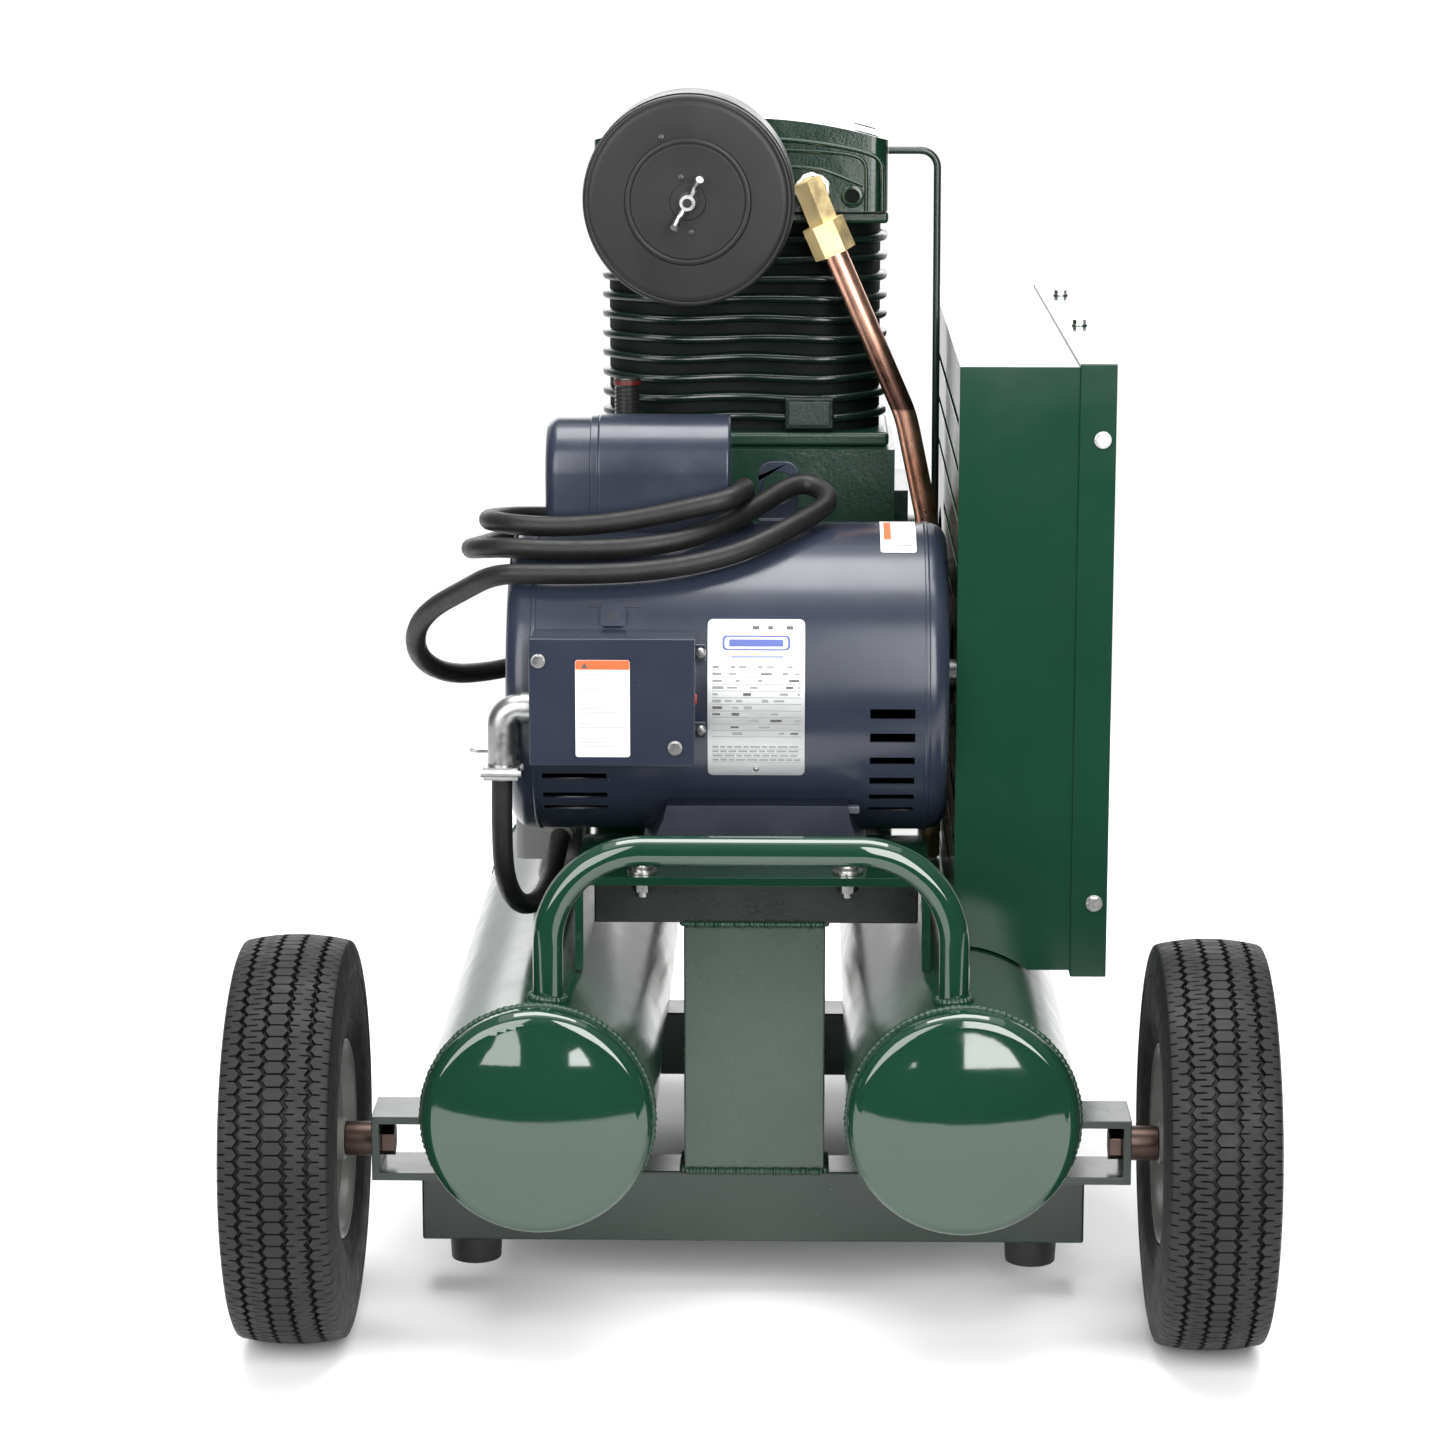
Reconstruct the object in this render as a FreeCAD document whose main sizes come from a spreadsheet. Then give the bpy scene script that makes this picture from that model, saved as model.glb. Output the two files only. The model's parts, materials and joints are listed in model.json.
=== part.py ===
import FreeCAD, Part
import math
import os
import Sketcher

# Wheeled twin-tank air compressor.
# Frame: +X to the machine's right seen from the wheels' end, +Y towards the rear feet, +Z up.
# Origin: centre of the footprint at floor level. Stations along the machine are first stated from
# the wheel axle and then shifted back by axle_to_centre.

V = FreeCAD.Vector
doc = FreeCAD.newDocument("AirCompressor")
sheet = doc.addObject("Spreadsheet::Sheet", "dims")
_row = [1]
NODES = []


class Q:
    """A number together with the spreadsheet expression that gives it."""

    def __init__(self, val, ex=None):
        self.val = float(val)
        self.ex = ex if ex is not None else repr(round(float(val), 6))

    def _op(self, o, s, f, swap=False):
        o = o if isinstance(o, Q) else Q(o)
        a, b = (o, self) if swap else (self, o)
        return Q(f(a.val, b.val), "(" + a.ex + s + b.ex + ")")

    def __add__(self, o):
        return self._op(o, " + ", lambda a, b: a + b)

    def __radd__(self, o):
        return self._op(o, " + ", lambda a, b: a + b, True)

    def __sub__(self, o):
        return self._op(o, " - ", lambda a, b: a - b)

    def __rsub__(self, o):
        return self._op(o, " - ", lambda a, b: a - b, True)

    def __mul__(self, o):
        return self._op(o, " * ", lambda a, b: a * b)

    def __rmul__(self, o):
        return self._op(o, " * ", lambda a, b: a * b, True)

    def __truediv__(self, o):
        return self._op(o, " / ", lambda a, b: a / b)

    def __neg__(self):
        return Q(0) - self


def q(x):
    return x if isinstance(x, Q) else Q(x)


def D(name, value, note=""):
    r = _row[0]
    sheet.set("A%d" % r, name)
    sheet.set("B%d" % r, str(value))
    sheet.set("C%d" % r, note)
    sheet.setAlias("B%d" % r, name)
    _row[0] = r + 1
    return Q(value, "dims." + name)


# ------------------------------------------------------------------ driving dimensions, mm
axle_to_centre = D("axle_to_centre", 253, "axle station to the middle of the footprint")
tyre_radius = D("tyre_radius", 130, "10.2 inch tyre")
tyre_width = D("tyre_width", 72)
track_half = D("track_half", 289.5, "wheel centre from the middle plane")
rim_radius = D("rim_radius", 63.6)
axle_bolt_radius = D("axle_bolt_radius", 6.35, "half inch axle bolt")
tank_radius = D("tank_radius", 73)
tank_wall = D("tank_wall", 3)
tank_x = D("tank_x", 133, "tank centre from the middle plane")
tank_z = D("tank_z", 158)
tank_front = D("tank_front", -44)
tank_length = D("tank_length", 592)
cross_height = D("cross_height", 48)
cross_depth = D("cross_depth", 38)
cross_bottom = D("cross_bottom", 36.5)
cross_half_len = D("cross_half_len", 218)
front_cross_y = D("front_cross_y", 75)
rear_cross_y = D("rear_cross_y", 455)
deck_top = D("deck_top", 291)
deck_thick = D("deck_thick", 5.5)
deck_half = D("deck_half", 114)
deck_front = D("deck_front", 45)
deck_back = D("deck_back", 560)
handle_tube = D("handle_tube", 19, "handle tube diameter")
handle_half = D("handle_half", 127)
handle_top = D("handle_top", 325.5, "centre line of the top bar")
handle_bend = D("handle_bend", 60)
handle_y = D("handle_y", -25)
motor_radius = D("motor_radius", 102)
motor_y = D("motor_y", 175)
motor_z = D("motor_z", 398)
motor_shaft_radius = D("motor_shaft_radius", 11)
pump_y = D("pump_y", 435)
crank_z = D("crank_z", 420)
crank_radius = D("crank_radius", 14)
cyl_left_x = D("cyl_left_x", -61.5)
cyl_right_x = D("cyl_right_x", 39.5)
fin_radius = D("fin_radius", 51.5)
bore_radius = D("bore_radius", 32)
fin_pitch = D("fin_pitch", 15)
flywheel_radius = D("flywheel_radius", 165)
pulley_radius = D("pulley_radius", 50)
belt_x = D("belt_x", 161, "middle plane of the belt drive")
guard_inner = D("guard_inner", 131)
guard_outer = D("guard_outer", 231)
guard_front = D("guard_front", 98)
guard_back = D("guard_back", 636)
guard_bottom = D("guard_bottom", 212)
guard_top = D("guard_top", 615)
guard_sheet = D("guard_sheet", 2)
filter_radius = D("filter_radius", 71)
filter_x = D("filter_x", -46)
filter_z = D("filter_z", 707)
filter_front = D("filter_front", 230)
tube_radius = D("tube_radius", 8, "copper discharge tube")
cord_diameter = D("cord_diameter", 13.5, "supply cord and motor lead")
run_clear = D("run_clear", 0.06, "radial running clearance")
doc.recompute()
Y0 = axle_to_centre

ROT = {
    "+Z": FreeCAD.Rotation(),
    "-Z": FreeCAD.Rotation(V(1, 0, 0), 180),
    "+X": FreeCAD.Rotation(V(0, 1, 0), 90),
    "-X": FreeCAD.Rotation(V(0, 1, 0), -90),
    "+Y": FreeCAD.Rotation(V(1, 0, 0), -90),
    "-Y": FreeCAD.Rotation(V(1, 0, 0), 90),
}
YZX = FreeCAD.Rotation(V(0, 1, 0), V(0, 0, 1), V(1, 0, 0), "ZXY")
TURN_Z = FreeCAD.Rotation(V(0, 0, 1), 90)
FRONT = FreeCAD.Rotation(V(1, 0, 0), 90)
_n = [0]


def fresh(kind):
    _n[0] += 1
    return "%s%03d" % (kind, _n[0])


def bind(obj, prop, value):
    value = q(value)
    if "dims." in value.ex:
        obj.setExpression(prop, value.ex)
    else:
        obj.setExpression(prop, None)
        if not prop.startswith("Placement"):
            setattr(obj, prop, value.val)


def place(obj, pos, rot=None):
    x, y, z = q(pos[0]), q(pos[1]) - Y0, q(pos[2])
    obj.Placement = FreeCAD.Placement(V(x.val, y.val, z.val), rot or FreeCAD.Rotation())
    for k, c in zip("xyz", (x, y, z)):
        if "dims." in c.ex:
            obj.setExpression("Placement.Base." + k, c.ex)
    return obj


def box(lx, ly, lz, pos):
    o = doc.addObject("Part::Box", fresh("Box"))
    bind(o, "Length", lx)
    bind(o, "Width", ly)
    bind(o, "Height", lz)
    return place(o, pos)


def boxc(x0, x1, y0, y1, z0, z1):
    x0, x1, y0, y1, z0, z1 = [q(k) for k in (x0, x1, y0, y1, z0, z1)]
    return box(x1 - x0, y1 - y0, z1 - z0, (x0, y0, z0))


def cyl(radius, height, pos, axis="+Z", rot=None):
    o = doc.addObject("Part::Cylinder", fresh("Cyl"))
    bind(o, "Radius", radius)
    bind(o, "Height", height)
    return place(o, pos, rot or ROT[axis])


def cone(r1, r2, height, pos, axis="+Z"):
    o = doc.addObject("Part::Cone", fresh("Cone"))
    bind(o, "Radius1", r1)
    bind(o, "Radius2", r2)
    bind(o, "Height", height)
    return place(o, pos, ROT[axis])


def torus(r1, r2, pos, axis="+Z"):
    o = doc.addObject("Part::Torus", fresh("Torus"))
    bind(o, "Radius1", r1)
    bind(o, "Radius2", r2)
    return place(o, pos, ROT[axis])


def hexa(across, height, pos, axis="+Z", turn=0):
    o = doc.addObject("Part::Prism", fresh("Hex"))
    o.Polygon = 6
    bind(o, "Circumradius", q(across) / 1.7320508)
    bind(o, "Height", height)
    return place(o, pos, ROT[axis] * FreeCAD.Rotation(V(0, 0, 1), turn))


def fuse(*objs):
    if len(objs) == 1:
        return objs[0]
    o = doc.addObject("Part::MultiFuse", fresh("Fuse"))
    o.Shapes = list(objs)
    o.Refine = True
    return o


def cut(base, *tools):
    o = doc.addObject("Part::Cut", fresh("Cut"))
    o.Base = base
    o.Tool = fuse(*tools)
    return o


def common(a, b):
    o = doc.addObject("Part::Common", fresh("Common"))
    o.Base = a
    o.Tool = b
    return o


def group(*objs):
    o = doc.addObject("Part::Compound", fresh("Group"))
    o.Links = list(objs)
    return o


def rounded(obj, radius, want):
    """Part::Fillet on the edges of obj that want(edge) picks."""
    doc.recompute()
    f = doc.addObject("Part::Fillet", fresh("Fillet"))
    f.Base = obj
    picks = []
    for i, e in enumerate(obj.Shape.Edges):
        if want(e):
            picks.append((i + 1, float(radius), float(radius)))
    f.Edges = picks
    return f


def along(axis):
    k = "XYZ".index(axis)

    def pick(e):
        if len(e.Vertexes) < 2:
            return False
        d = e.Vertexes[1].Point - e.Vertexes[0].Point
        c = [abs(d.x), abs(d.y), abs(d.z)]
        return c[k] > 1e-6 and sum(c) - c[k] < 1e-6

    return pick


def node(obj, label):
    obj.Label = label
    NODES.append(obj)
    return obj


def feature(label, shape):
    """A Part::Feature holding a shape built in axle-station coordinates."""
    o = doc.addObject("Part::Feature", fresh("Shape"))
    o.Shape = shape
    o.Placement = FreeCAD.Placement(V(0, -Y0.val, 0), FreeCAD.Rotation())
    if label:
        node(o, label)
    return o


def plane(body, role):
    for o in body.Origin.OriginFeatures:
        if o.Role == role:
            return o
    raise RuntimeError(role)


def sketch(body, role, loops):
    """loops: ("poly", [(x, y), ...]) or ("circle", x, y, r), every number bound to the sheet."""
    sk = body.newObject("Sketcher::SketchObject", fresh("Sketch"))
    sk.AttachmentSupport = (plane(body, role), "")
    sk.MapMode = "FlatFace"

    def pin_point(geo, pos, x, y):
        for kind, c in (("DistanceX", q(x)), ("DistanceY", q(y))):
            n = sk.addConstraint(Sketcher.Constraint(kind, -1, 1, geo, pos, c.val))
            if "dims." in c.ex:
                sk.setExpression("Constraints[%d]" % n, c.ex)

    for lp in loops:
        if lp[0] == "poly":
            pts = [(q(a), q(b)) for a, b in lp[1]]
            first = sk.GeometryCount
            cnt = len(pts)
            for i in range(cnt):
                a, b = pts[i], pts[(i + 1) % cnt]
                sk.addGeometry(Part.LineSegment(V(a[0].val, a[1].val, 0), V(b[0].val, b[1].val, 0)), False)
            for i in range(cnt):
                sk.addConstraint(Sketcher.Constraint("Coincident", first + i, 2, first + (i + 1) % cnt, 1))
            for i in range(cnt):
                pin_point(first + i, 1, pts[i][0], pts[i][1])
        else:
            x, y, r = q(lp[1]), q(lp[2]), q(lp[3])
            g = sk.GeometryCount
            sk.addGeometry(Part.Circle(V(x.val, y.val, 0), V(0, 0, 1), r.val), False)
            pin_point(g, 3, x, y)
            n = sk.addConstraint(Sketcher.Constraint("Radius", g, r.val))
            if "dims." in r.ex:
                sk.setExpression("Constraints[%d]" % n, r.ex)
    return sk


def body_pad(label, loops, length, pos, rot, role="XY_Plane"):
    b = doc.addObject("PartDesign::Body", fresh("Body"))
    sk = sketch(b, role, loops)
    p = b.newObject("PartDesign::Pad", fresh("Pad"))
    p.Profile = sk
    bind(p, "Length", length)
    b.Tip = p
    place(b, pos, rot)
    if label:
        node(b, label)
    return b


def body_rev(label, pts, pos, rot=None, more=()):
    """Revolves (axial, radial) points about the local X axis."""
    b = doc.addObject("PartDesign::Body", fresh("Body"))
    sk = sketch(b, "XY_Plane", [("poly", pts)] + list(more))
    r = b.newObject("PartDesign::Revolution", fresh("Revolution"))
    r.Profile = sk
    r.ReferenceAxis = (sk, ["H_Axis"])
    r.Angle = 360
    b.Tip = r
    place(b, pos, rot or FreeCAD.Rotation())
    if label:
        node(b, label)
    return b


def pocket_through(body, role, loops):
    doc.recompute()
    before = body.Shape.Volume
    sk = sketch(body, role, loops)
    p = body.newObject("PartDesign::Pocket", fresh("Pocket"))
    p.Profile = sk
    p.Type = 1
    p.Midplane = True
    body.Tip = p
    doc.recompute()
    if not body.Shape.Volume < before - 1:
        raise RuntimeError("pocket cut nothing on " + body.Label)
    return p


def polar(body, feature_obj, count):
    """Repeats a pocket round the body's local X axis."""
    pat = body.newObject("PartDesign::PolarPattern", fresh("Polar"))
    pat.Originals = [feature_obj]
    ax = [o for o in body.Origin.OriginFeatures if o.Role == "X_Axis"][0]
    pat.Axis = (ax, [""])
    pat.Angle = 360
    pat.Occurrences = count
    body.Tip = pat
    return pat


# ------------------------------------------------------------------ shape helpers for bent tubes
def route_wire(pts, radii=None):
    """Straight runs joined by tangent arcs. Returns wire, radii used, length."""
    P = [V(*p) for p in pts]
    n = len(P)
    used = []
    edges = []
    total = 0.0
    last = P[0]
    for i in range(1, n - 1):
        a = (P[i] - P[i - 1])
        b = (P[i + 1] - P[i])
        la, lb = a.Length, b.Length
        ua, ub = V(a).normalize(), V(b).normalize()
        turn = ua.getAngle(ub)
        if radii is None:
            r = 0.45 * min(la, lb) / math.tan(turn / 2)
        else:
            r = radii[i - 1]
        t = r * math.tan(turn / 2)
        s = P[i] - ua * t
        e = P[i] + ub * t
        mid_dir = (ub - ua).normalize()
        centre = P[i] + mid_dir * (r / math.cos(turn / 2))
        m = centre - mid_dir * r
        if (s - last).Length > 1e-6:
            edges.append(Part.LineSegment(last, s).toShape())
            total += (s - last).Length
        edges.append(Part.Arc(s, m, e).toShape())
        total += r * turn
        used.append(r)
        last = e
    edges.append(Part.LineSegment(last, P[-1]).toShape())
    total += (P[-1] - last).Length
    return Part.Wire(edges), used, total


def tube_shape(pts, radius, radii=None, bore=0.0, name=""):
    wire, used, total = route_wire(pts, radii)
    d = (V(*pts[1]) - V(*pts[0])).normalize()
    ring = Part.Wire([Part.Circle(V(*pts[0]), d, radius).toShape()])
    sol = wire.makePipeShell([ring], True, True)
    if bore:
        inner = wire.makePipeShell([Part.Wire([Part.Circle(V(*pts[0]), d, bore).toShape()])], True, True)
        want = math.pi * (radius ** 2 - bore ** 2) * total
        sol = sol.cut(inner)
    else:
        want = math.pi * radius ** 2 * total
    print("%s: length %.1f, smallest bend radius %.1f (all %s), volume ratio %.4f" % (
        name, total, min(used), " ".join("%.0f" % r for r in used), sol.Volume / want))
    return sol


def revolve_shape(segs, centre, axis):
    """segs: list of points and arcs in (axial, radial); first entry is the start point."""
    ax = V(*axis)
    side = V(0, 0, 1) if abs(ax.z) < 0.5 else V(1, 0, 0)
    c = V(*centre)

    def at(p):
        return c + ax * p[0] + side * p[1]

    edges = []
    cur = segs[0]
    for s in segs[1:]:
        if len(s) == 2 and not isinstance(s[0], (tuple, list)):
            edges.append(Part.LineSegment(at(cur), at(s)).toShape())
            cur = s
        else:
            edges.append(Part.Arc(at(cur), at(s[0]), at(s[1])).toShape())
            cur = s[1]
    if (at(cur) - at(segs[0])).Length > 1e-9:
        edges.append(Part.LineSegment(at(cur), at(segs[0])).toShape())
    face = Part.Face(Part.Wire(edges))
    return face.revolve(c, ax, 360)


# ================================================================== tanks
ri = tank_radius - tank_wall
for side, sx in (("left", -1), ("right", 1)):
    body_rev(side + "_tank_shell",
             [(0, ri), (tank_length, ri), (tank_length, tank_radius), (0, tank_radius)],
             (tank_x * sx, tank_front, tank_z), TURN_Z)


def dished_head(sx, y_open, direction):
    R = tank_radius.val - 0.4
    w = 3.0
    k = 10.0
    rise = 10.0
    c = R - k
    crown = (c * c + rise * rise) / (2 * rise)

    def crown_mid(rad, h):
        m = rad / 2
        return h - (crown - math.sqrt(crown * crown - m * m))
    s45 = math.sin(math.radians(45))
    segs = [
        (0.3, R), (6, R),
        ((6 + k * s45, c + k * s45), (6 + k, c)),
        ((6 + k + crown_mid(c, rise), c / 2), (6 + k + rise, 0.0)),
        (6 + k + rise - w, 0.0),
        ((6 + k + crown_mid(c, rise) - w, c / 2), (6 + k - w, c)),
        ((6 + (k - w) * s45, c + (k - w) * s45), (6, R - w)),
        (0.3, R - w),
    ]
    return revolve_shape(segs, (sx * tank_x.val, y_open, tank_z.val), (0, direction, 0))


heads = []
for sx in (-1, 1):
    heads.append(dished_head(sx, tank_front.val, -1))
    heads.append(dished_head(sx, tank_front.val + tank_length.val, 1))
feature("tank_heads", Part.makeCompound(heads))

# ================================================================== frame under and over the tanks
def rect_tube(label, lx, ly, lz, pos, wall, axis):
    lx, ly, lz = q(lx), q(ly), q(lz)
    outer = box(lx, ly, lz, pos)
    px, py, pz = [q(c) for c in pos]
    if axis == "X":
        inner = box(lx + 2, ly - 2 * wall, lz - 2 * wall, (px - 1, py + wall, pz + wall))
    elif axis == "Y":
        inner = box(lx - 2 * wall, ly + 2, lz - 2 * wall, (px + wall, py - 1, pz + wall))
    else:
        inner = box(lx - 2 * wall, ly - 2 * wall, lz + 2, (px + wall, py + wall, pz - 1))
    o = cut(outer, inner)
    if label:
        node(o, label)
    return o


node(group(
    rect_tube(None, cross_half_len * 2, cross_depth, cross_height, (-cross_half_len, front_cross_y, cross_bottom), 3, "X"),
    rect_tube(None, cross_half_len * 2, cross_depth, cross_height, (-cross_half_len, rear_cross_y, cross_bottom), 3, "X")),
    "crossmembers")

cross_top = cross_bottom + cross_height
body_pad("front_post",
         [("poly", [(-45, 0), (47, 0), (47, cross_depth), (-45, cross_depth)]),
          ("poly", [(-42, 3), (44, 3), (44, cross_depth - 3), (-42, cross_depth - 3)])],
         deck_top - deck_thick - 32.4 - cross_top, (0, front_cross_y, cross_top + 0.1), FreeCAD.Rotation())
rect_tube("deck_beam", 210, cross_depth, 32, (-103, front_cross_y, deck_top - deck_thick - 32.1), 3, "X")

flange_low = q(229.5)
deck = body_pad("deck_plate",
                [("poly", [(-deck_half, flange_low), (deck_thick - deck_half, flange_low),
                           (deck_thick - deck_half, deck_top - deck_thick), (deck_half - deck_thick, deck_top - deck_thick),
                           (deck_half - deck_thick, flange_low), (deck_half, flange_low),
                           (deck_half, deck_top), (-deck_half, deck_top)])],
                deck_back - deck_front, (0, deck_back, 0), FRONT)
holes = []
for hx in (-71, 61):
    holes.append(("circle", hx, deck_back - 60, 4.6))
for hx in (-99, 95):
    for hy in (352, 518):
        holes.append(("circle", hx, deck_back - hy, 5.2))
for hx in (-50, 56):
    holes.append(("circle", hx, deck_back - 262, 4.6))
# sketch on the XZ plane: local Z runs forward from the deck's back edge
pocket_through(deck, "XZ_Plane", [(h[0], h[1], h[2], h[3]) for h in holes])

hp = [(-handle_half.val, handle_y.val, 231.2), (-handle_half.val, handle_y.val, handle_top.val),
      (handle_half.val, handle_y.val, handle_top.val), (handle_half.val, handle_y.val, 231.2)]
feature("tank_handle", tube_shape(hp, handle_tube.val / 2, [handle_bend.val] * 2, bore=handle_tube.val / 2 - 2, name="tank_handle"))

brk = []
for sx in (-1, 1):
    x0, x1 = (q(183), q(240)) if sx > 0 else (q(-240), q(-183))
    outer = boxc(x0, x1, -22, 22, 109, 151)
    inner = boxc(x0 - 1, x1 - 5, -23, 23, 114, 146) if sx > 0 else boxc(x0 + 5, x1 + 1, -23, 23, 114, 146)
    tank_clear = cyl(tank_radius + 0.15, 60, (tank_x * sx, -30, tank_z), "+Y")
    hole = cyl(axle_bolt_radius + 0.15, 20, (230 if sx > 0 else -250, 0, tyre_radius), "+X")
    brk.append(cut(outer, inner, tank_clear, hole))
node(group(*brk), "axle_brackets")

ax_parts = []
for sx in (-1, 1):
    d = "+X" if sx > 0 else "-X"
    bolt = fuse(hexa(19, 8, (226.9 * sx, 0, tyre_radius), d), cyl(axle_bolt_radius, 98, (230 * sx, 0, tyre_radius), d))
    collar = cut(cyl(11, 17.9, (240.3 * sx, 0, tyre_radius), d), cyl(axle_bolt_radius + 0.1, 26, (239 * sx, 0, tyre_radius), d))
    nut = cut(hexa(19, 8.5, (316 * sx, 0, tyre_radius), d), cyl(axle_bolt_radius + 0.1, 12, (314.8 * sx, 0, tyre_radius), d))
    ax_parts += [bolt, collar, nut]
node(group(*ax_parts), "axle_bolts")

feet = []
for fx in (-184, 184):
    feet.append(cone(16.5, 17.5, 17.4, (fx, front_cross_y + 19, cross_bottom - 17.5)))
    feet.append(cone(16.5, 17.5, cross_bottom - 0.1, (fx, rear_cross_y + 19, 0)))
node(group(*feet), "rubber_feet")

# ================================================================== wheels
half_w = tyre_width / 2
for side, sx in (("left", -1), ("right", 1)):
    body_rev(side + "_tyre",
             [(-27, rim_radius + 0.1), (-33, rim_radius + 8), (-half_w, tyre_radius - 45), (-half_w, tyre_radius - 22),
              (2 - half_w, tyre_radius - 13), (6 - half_w, tyre_radius - 5), (13 - half_w, tyre_radius - 1), (-12, tyre_radius),
              (12, tyre_radius), (half_w - 13, tyre_radius - 1), (half_w - 6, tyre_radius - 5), (half_w - 2, tyre_radius - 13),
              (half_w, tyre_radius - 22), (half_w, tyre_radius - 45), (33, rim_radius + 8), (27, rim_radius + 0.1)],
             (track_half * sx, 0, tyre_radius))
    hub_in, hub_out = (-31, 25) if sx > 0 else (-25, 31)
    body_rev(side + "_rim",
             [(hub_in, axle_bolt_radius + run_clear), (hub_out, axle_bolt_radius + run_clear), (hub_out, 15), (6, 17), (3, 24), (3, 46),
              (10, 54), (26, 58), (31, rim_radius - 1), (31, rim_radius), (-31, rim_radius), (-31, rim_radius - 1), (-26, 58),
              (-10, 54), (-3, 46), (-3, 24), (-6, 17), (hub_in, 15)],
             (track_half * sx, 0, tyre_radius))

# ================================================================== air side
pipe_z = 172.0
px_end = tank_x.val - math.sqrt(tank_radius.val ** 2 - 5.0 ** 2) - 0.2
pipe = cyl(9, 2 * px_end, (-px_end, 505, pipe_z), "+X")
tee = fuse(pipe, cyl(12.5, 44, (-22, 505, pipe_z), "+X"), cyl(12.5, 34, (0, 505, pipe_z - 34)))
cock = fuse(hexa(17, 14, (0, 505, pipe_z - 48.2)), cyl(6.5, 16, (0, 505, pipe_z - 64)), cyl(4, 14, (0, 505, pipe_z - 55), "+Y"))
node(group(tee, cock), "crossover_pipe")
node(fuse(cyl(6, 5, (0, 519.1, pipe_z - 55), "+Y"), boxc(-17, 17, 519.5, 522.5, pipe_z - 60, pipe_z - 50)), "drain_handle")

mx = -150.0
block = boxc(mx - 16, mx + 16, 362, 478, 236.5, 266.5)
bore = cyl(7, 100, (mx, 370, 251.5), "+Y")
riser = cyl(9, 6, (mx + 9, 405, 231.2))
manifold = fuse(cut(block, bore), riser)
node(manifold, "manifold")
gauge = fuse(cut(cyl(24, 24, (mx, 438, 306), "+Y"), cyl(22, 3, (mx, 460, 306), "+Y")), cyl(5.5, 18, (mx, 450, 266.6)))
node(gauge, "pressure_gauge")
valve = fuse(hexa(15, 12, (mx, 392, 266.6)), cyl(7.5, 26, (mx, 392, 278.6)), cyl(5, 6, (mx, 392, 304.6)))
node(cut(valve, cyl(2.7, 14, (mx, 392, 297.8))), "safety_valve")
pull = fuse(cyl(2.4, 18, (mx, 392, 298.4)), torus(9, 1.6, (mx, 392, 325.2), "+Y"))
node(pull, "safety_valve_ring")
ov = fuse(hexa(25, 30, (mx, 486, 251.5), "+Y"), cyl(9, 60, (mx, 478.1, 251.5), "+Y"), hexa(22, 10, (mx, 528, 251.5), "+Y"),
          cyl(5, 13, (mx, 501, 262)))
node(cut(ov, cyl(6.65, 16, (mx, 526, 251.5), "+Y"), cyl(5, 34, (mx, 493, 251.5), "+Y")), "outlet_valve")
node(fuse(cyl(8, 3, (mx, 501, 275.2)), boxc(mx - 62, mx, 494, 508, 275.2, 278.2), cyl(7, 3, (mx - 62, 501, 275.2))), "outlet_valve_handle")

sw = rounded(boxc(-169, -122.6, 285, 345, 244.5, 330), 7, along("Z"))
sw_gland = fuse(cyl(11, 7, (-134, 315, 329.5)), cyl(9.5, 10, (-134, 315, 336.5)))
lead_gland = fuse(cyl(11, 8, (-137, 285.5, 264), "-Y"), cyl(9, 8, (-137, 277.5, 264), "-Y"))
sw_nipple = fuse(cyl(9, 9, (-137, 315, 236)), hexa(19, 7, (-137, 315, 237)), cyl(7, 6, (-137, 315, 231.4)))
sw_pivot = cyl(5, 8, (-174.5, 306, 318), "+X")
node(fuse(sw, sw_gland, lead_gland, sw_nipple, sw_pivot), "pressure_switch")
lever = rounded(boxc(-184, -175, 299, 313, 283, 326), 5.5, along("X"))
node(lever, "pressure_switch_lever")

# discharge line: elbow on the head, compression nuts, copper tube, check valve on the right tank
ty = 352.0
tube_pts = [(48.5, ty, 673.5), (103.0, ty, 549.5), (119.0, ty, 474.0), (122.4, ty, 400.0), (122.6, ty, 262.5)]
feature("discharge_tube", tube_shape(tube_pts, tube_radius.val, [90, 120, 200], bore=tube_radius.val - 1.2, name="discharge_tube"))


def hex_between(a, b, across, turn=0.0):
    A, B = V(*a), V(*b)
    d = (B - A)
    pts = [V(across / math.sqrt(3) * math.cos(math.radians(60 * i + turn)), across / math.sqrt(3) * math.sin(math.radians(60 * i + turn)), 0) for i in range(7)]
    f = Part.Face(Part.makePolygon(pts))
    s = f.extrude(V(0, 0, d.Length))
    s.Placement = FreeCAD.Placement(A, FreeCAD.Rotation(V(0, 0, 1), d))
    return s


stub = Part.makeCylinder(9.5, 20, V(37, 377.8, 704.4), V(0, -1, 0))
elbow = hex_between((33.2, ty, 712.5), (45.4, ty, 682.5), 20, 30).fuse(stub)
td = (V(*tube_pts[1]) - V(*tube_pts[0])).normalize()
n0 = V(*tube_pts[0]) - td * 11
n1 = V(*tube_pts[0]) + td * 12
hole = Part.makeCylinder(tube_radius.val + 0.1, 40, V(*tube_pts[0]) - td * 0.2, td)
nut_top = hex_between(tuple(n0), tuple(n1), 26, 0).cut(hole)
elbow = elbow.cut(nut_top)
cv = hex_between((122.6, ty, 233), (122.6, ty, 250), 15, 30).fuse(Part.makeCylinder(6, 4, V(122.6, ty, 231.4)))
cv_nut = Part.makeCylinder(8.2, 12, V(122.6, ty, 250.2))
tank_cut = Part.makeCylinder(tank_radius.val + 0.2, 60, V(tank_x.val, ty - 30, tank_z.val), V(0, 1, 0))
feature("discharge_fittings", Part.makeCompound([elbow, nut_top, cv.cut(tank_cut), cv_nut]))

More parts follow.
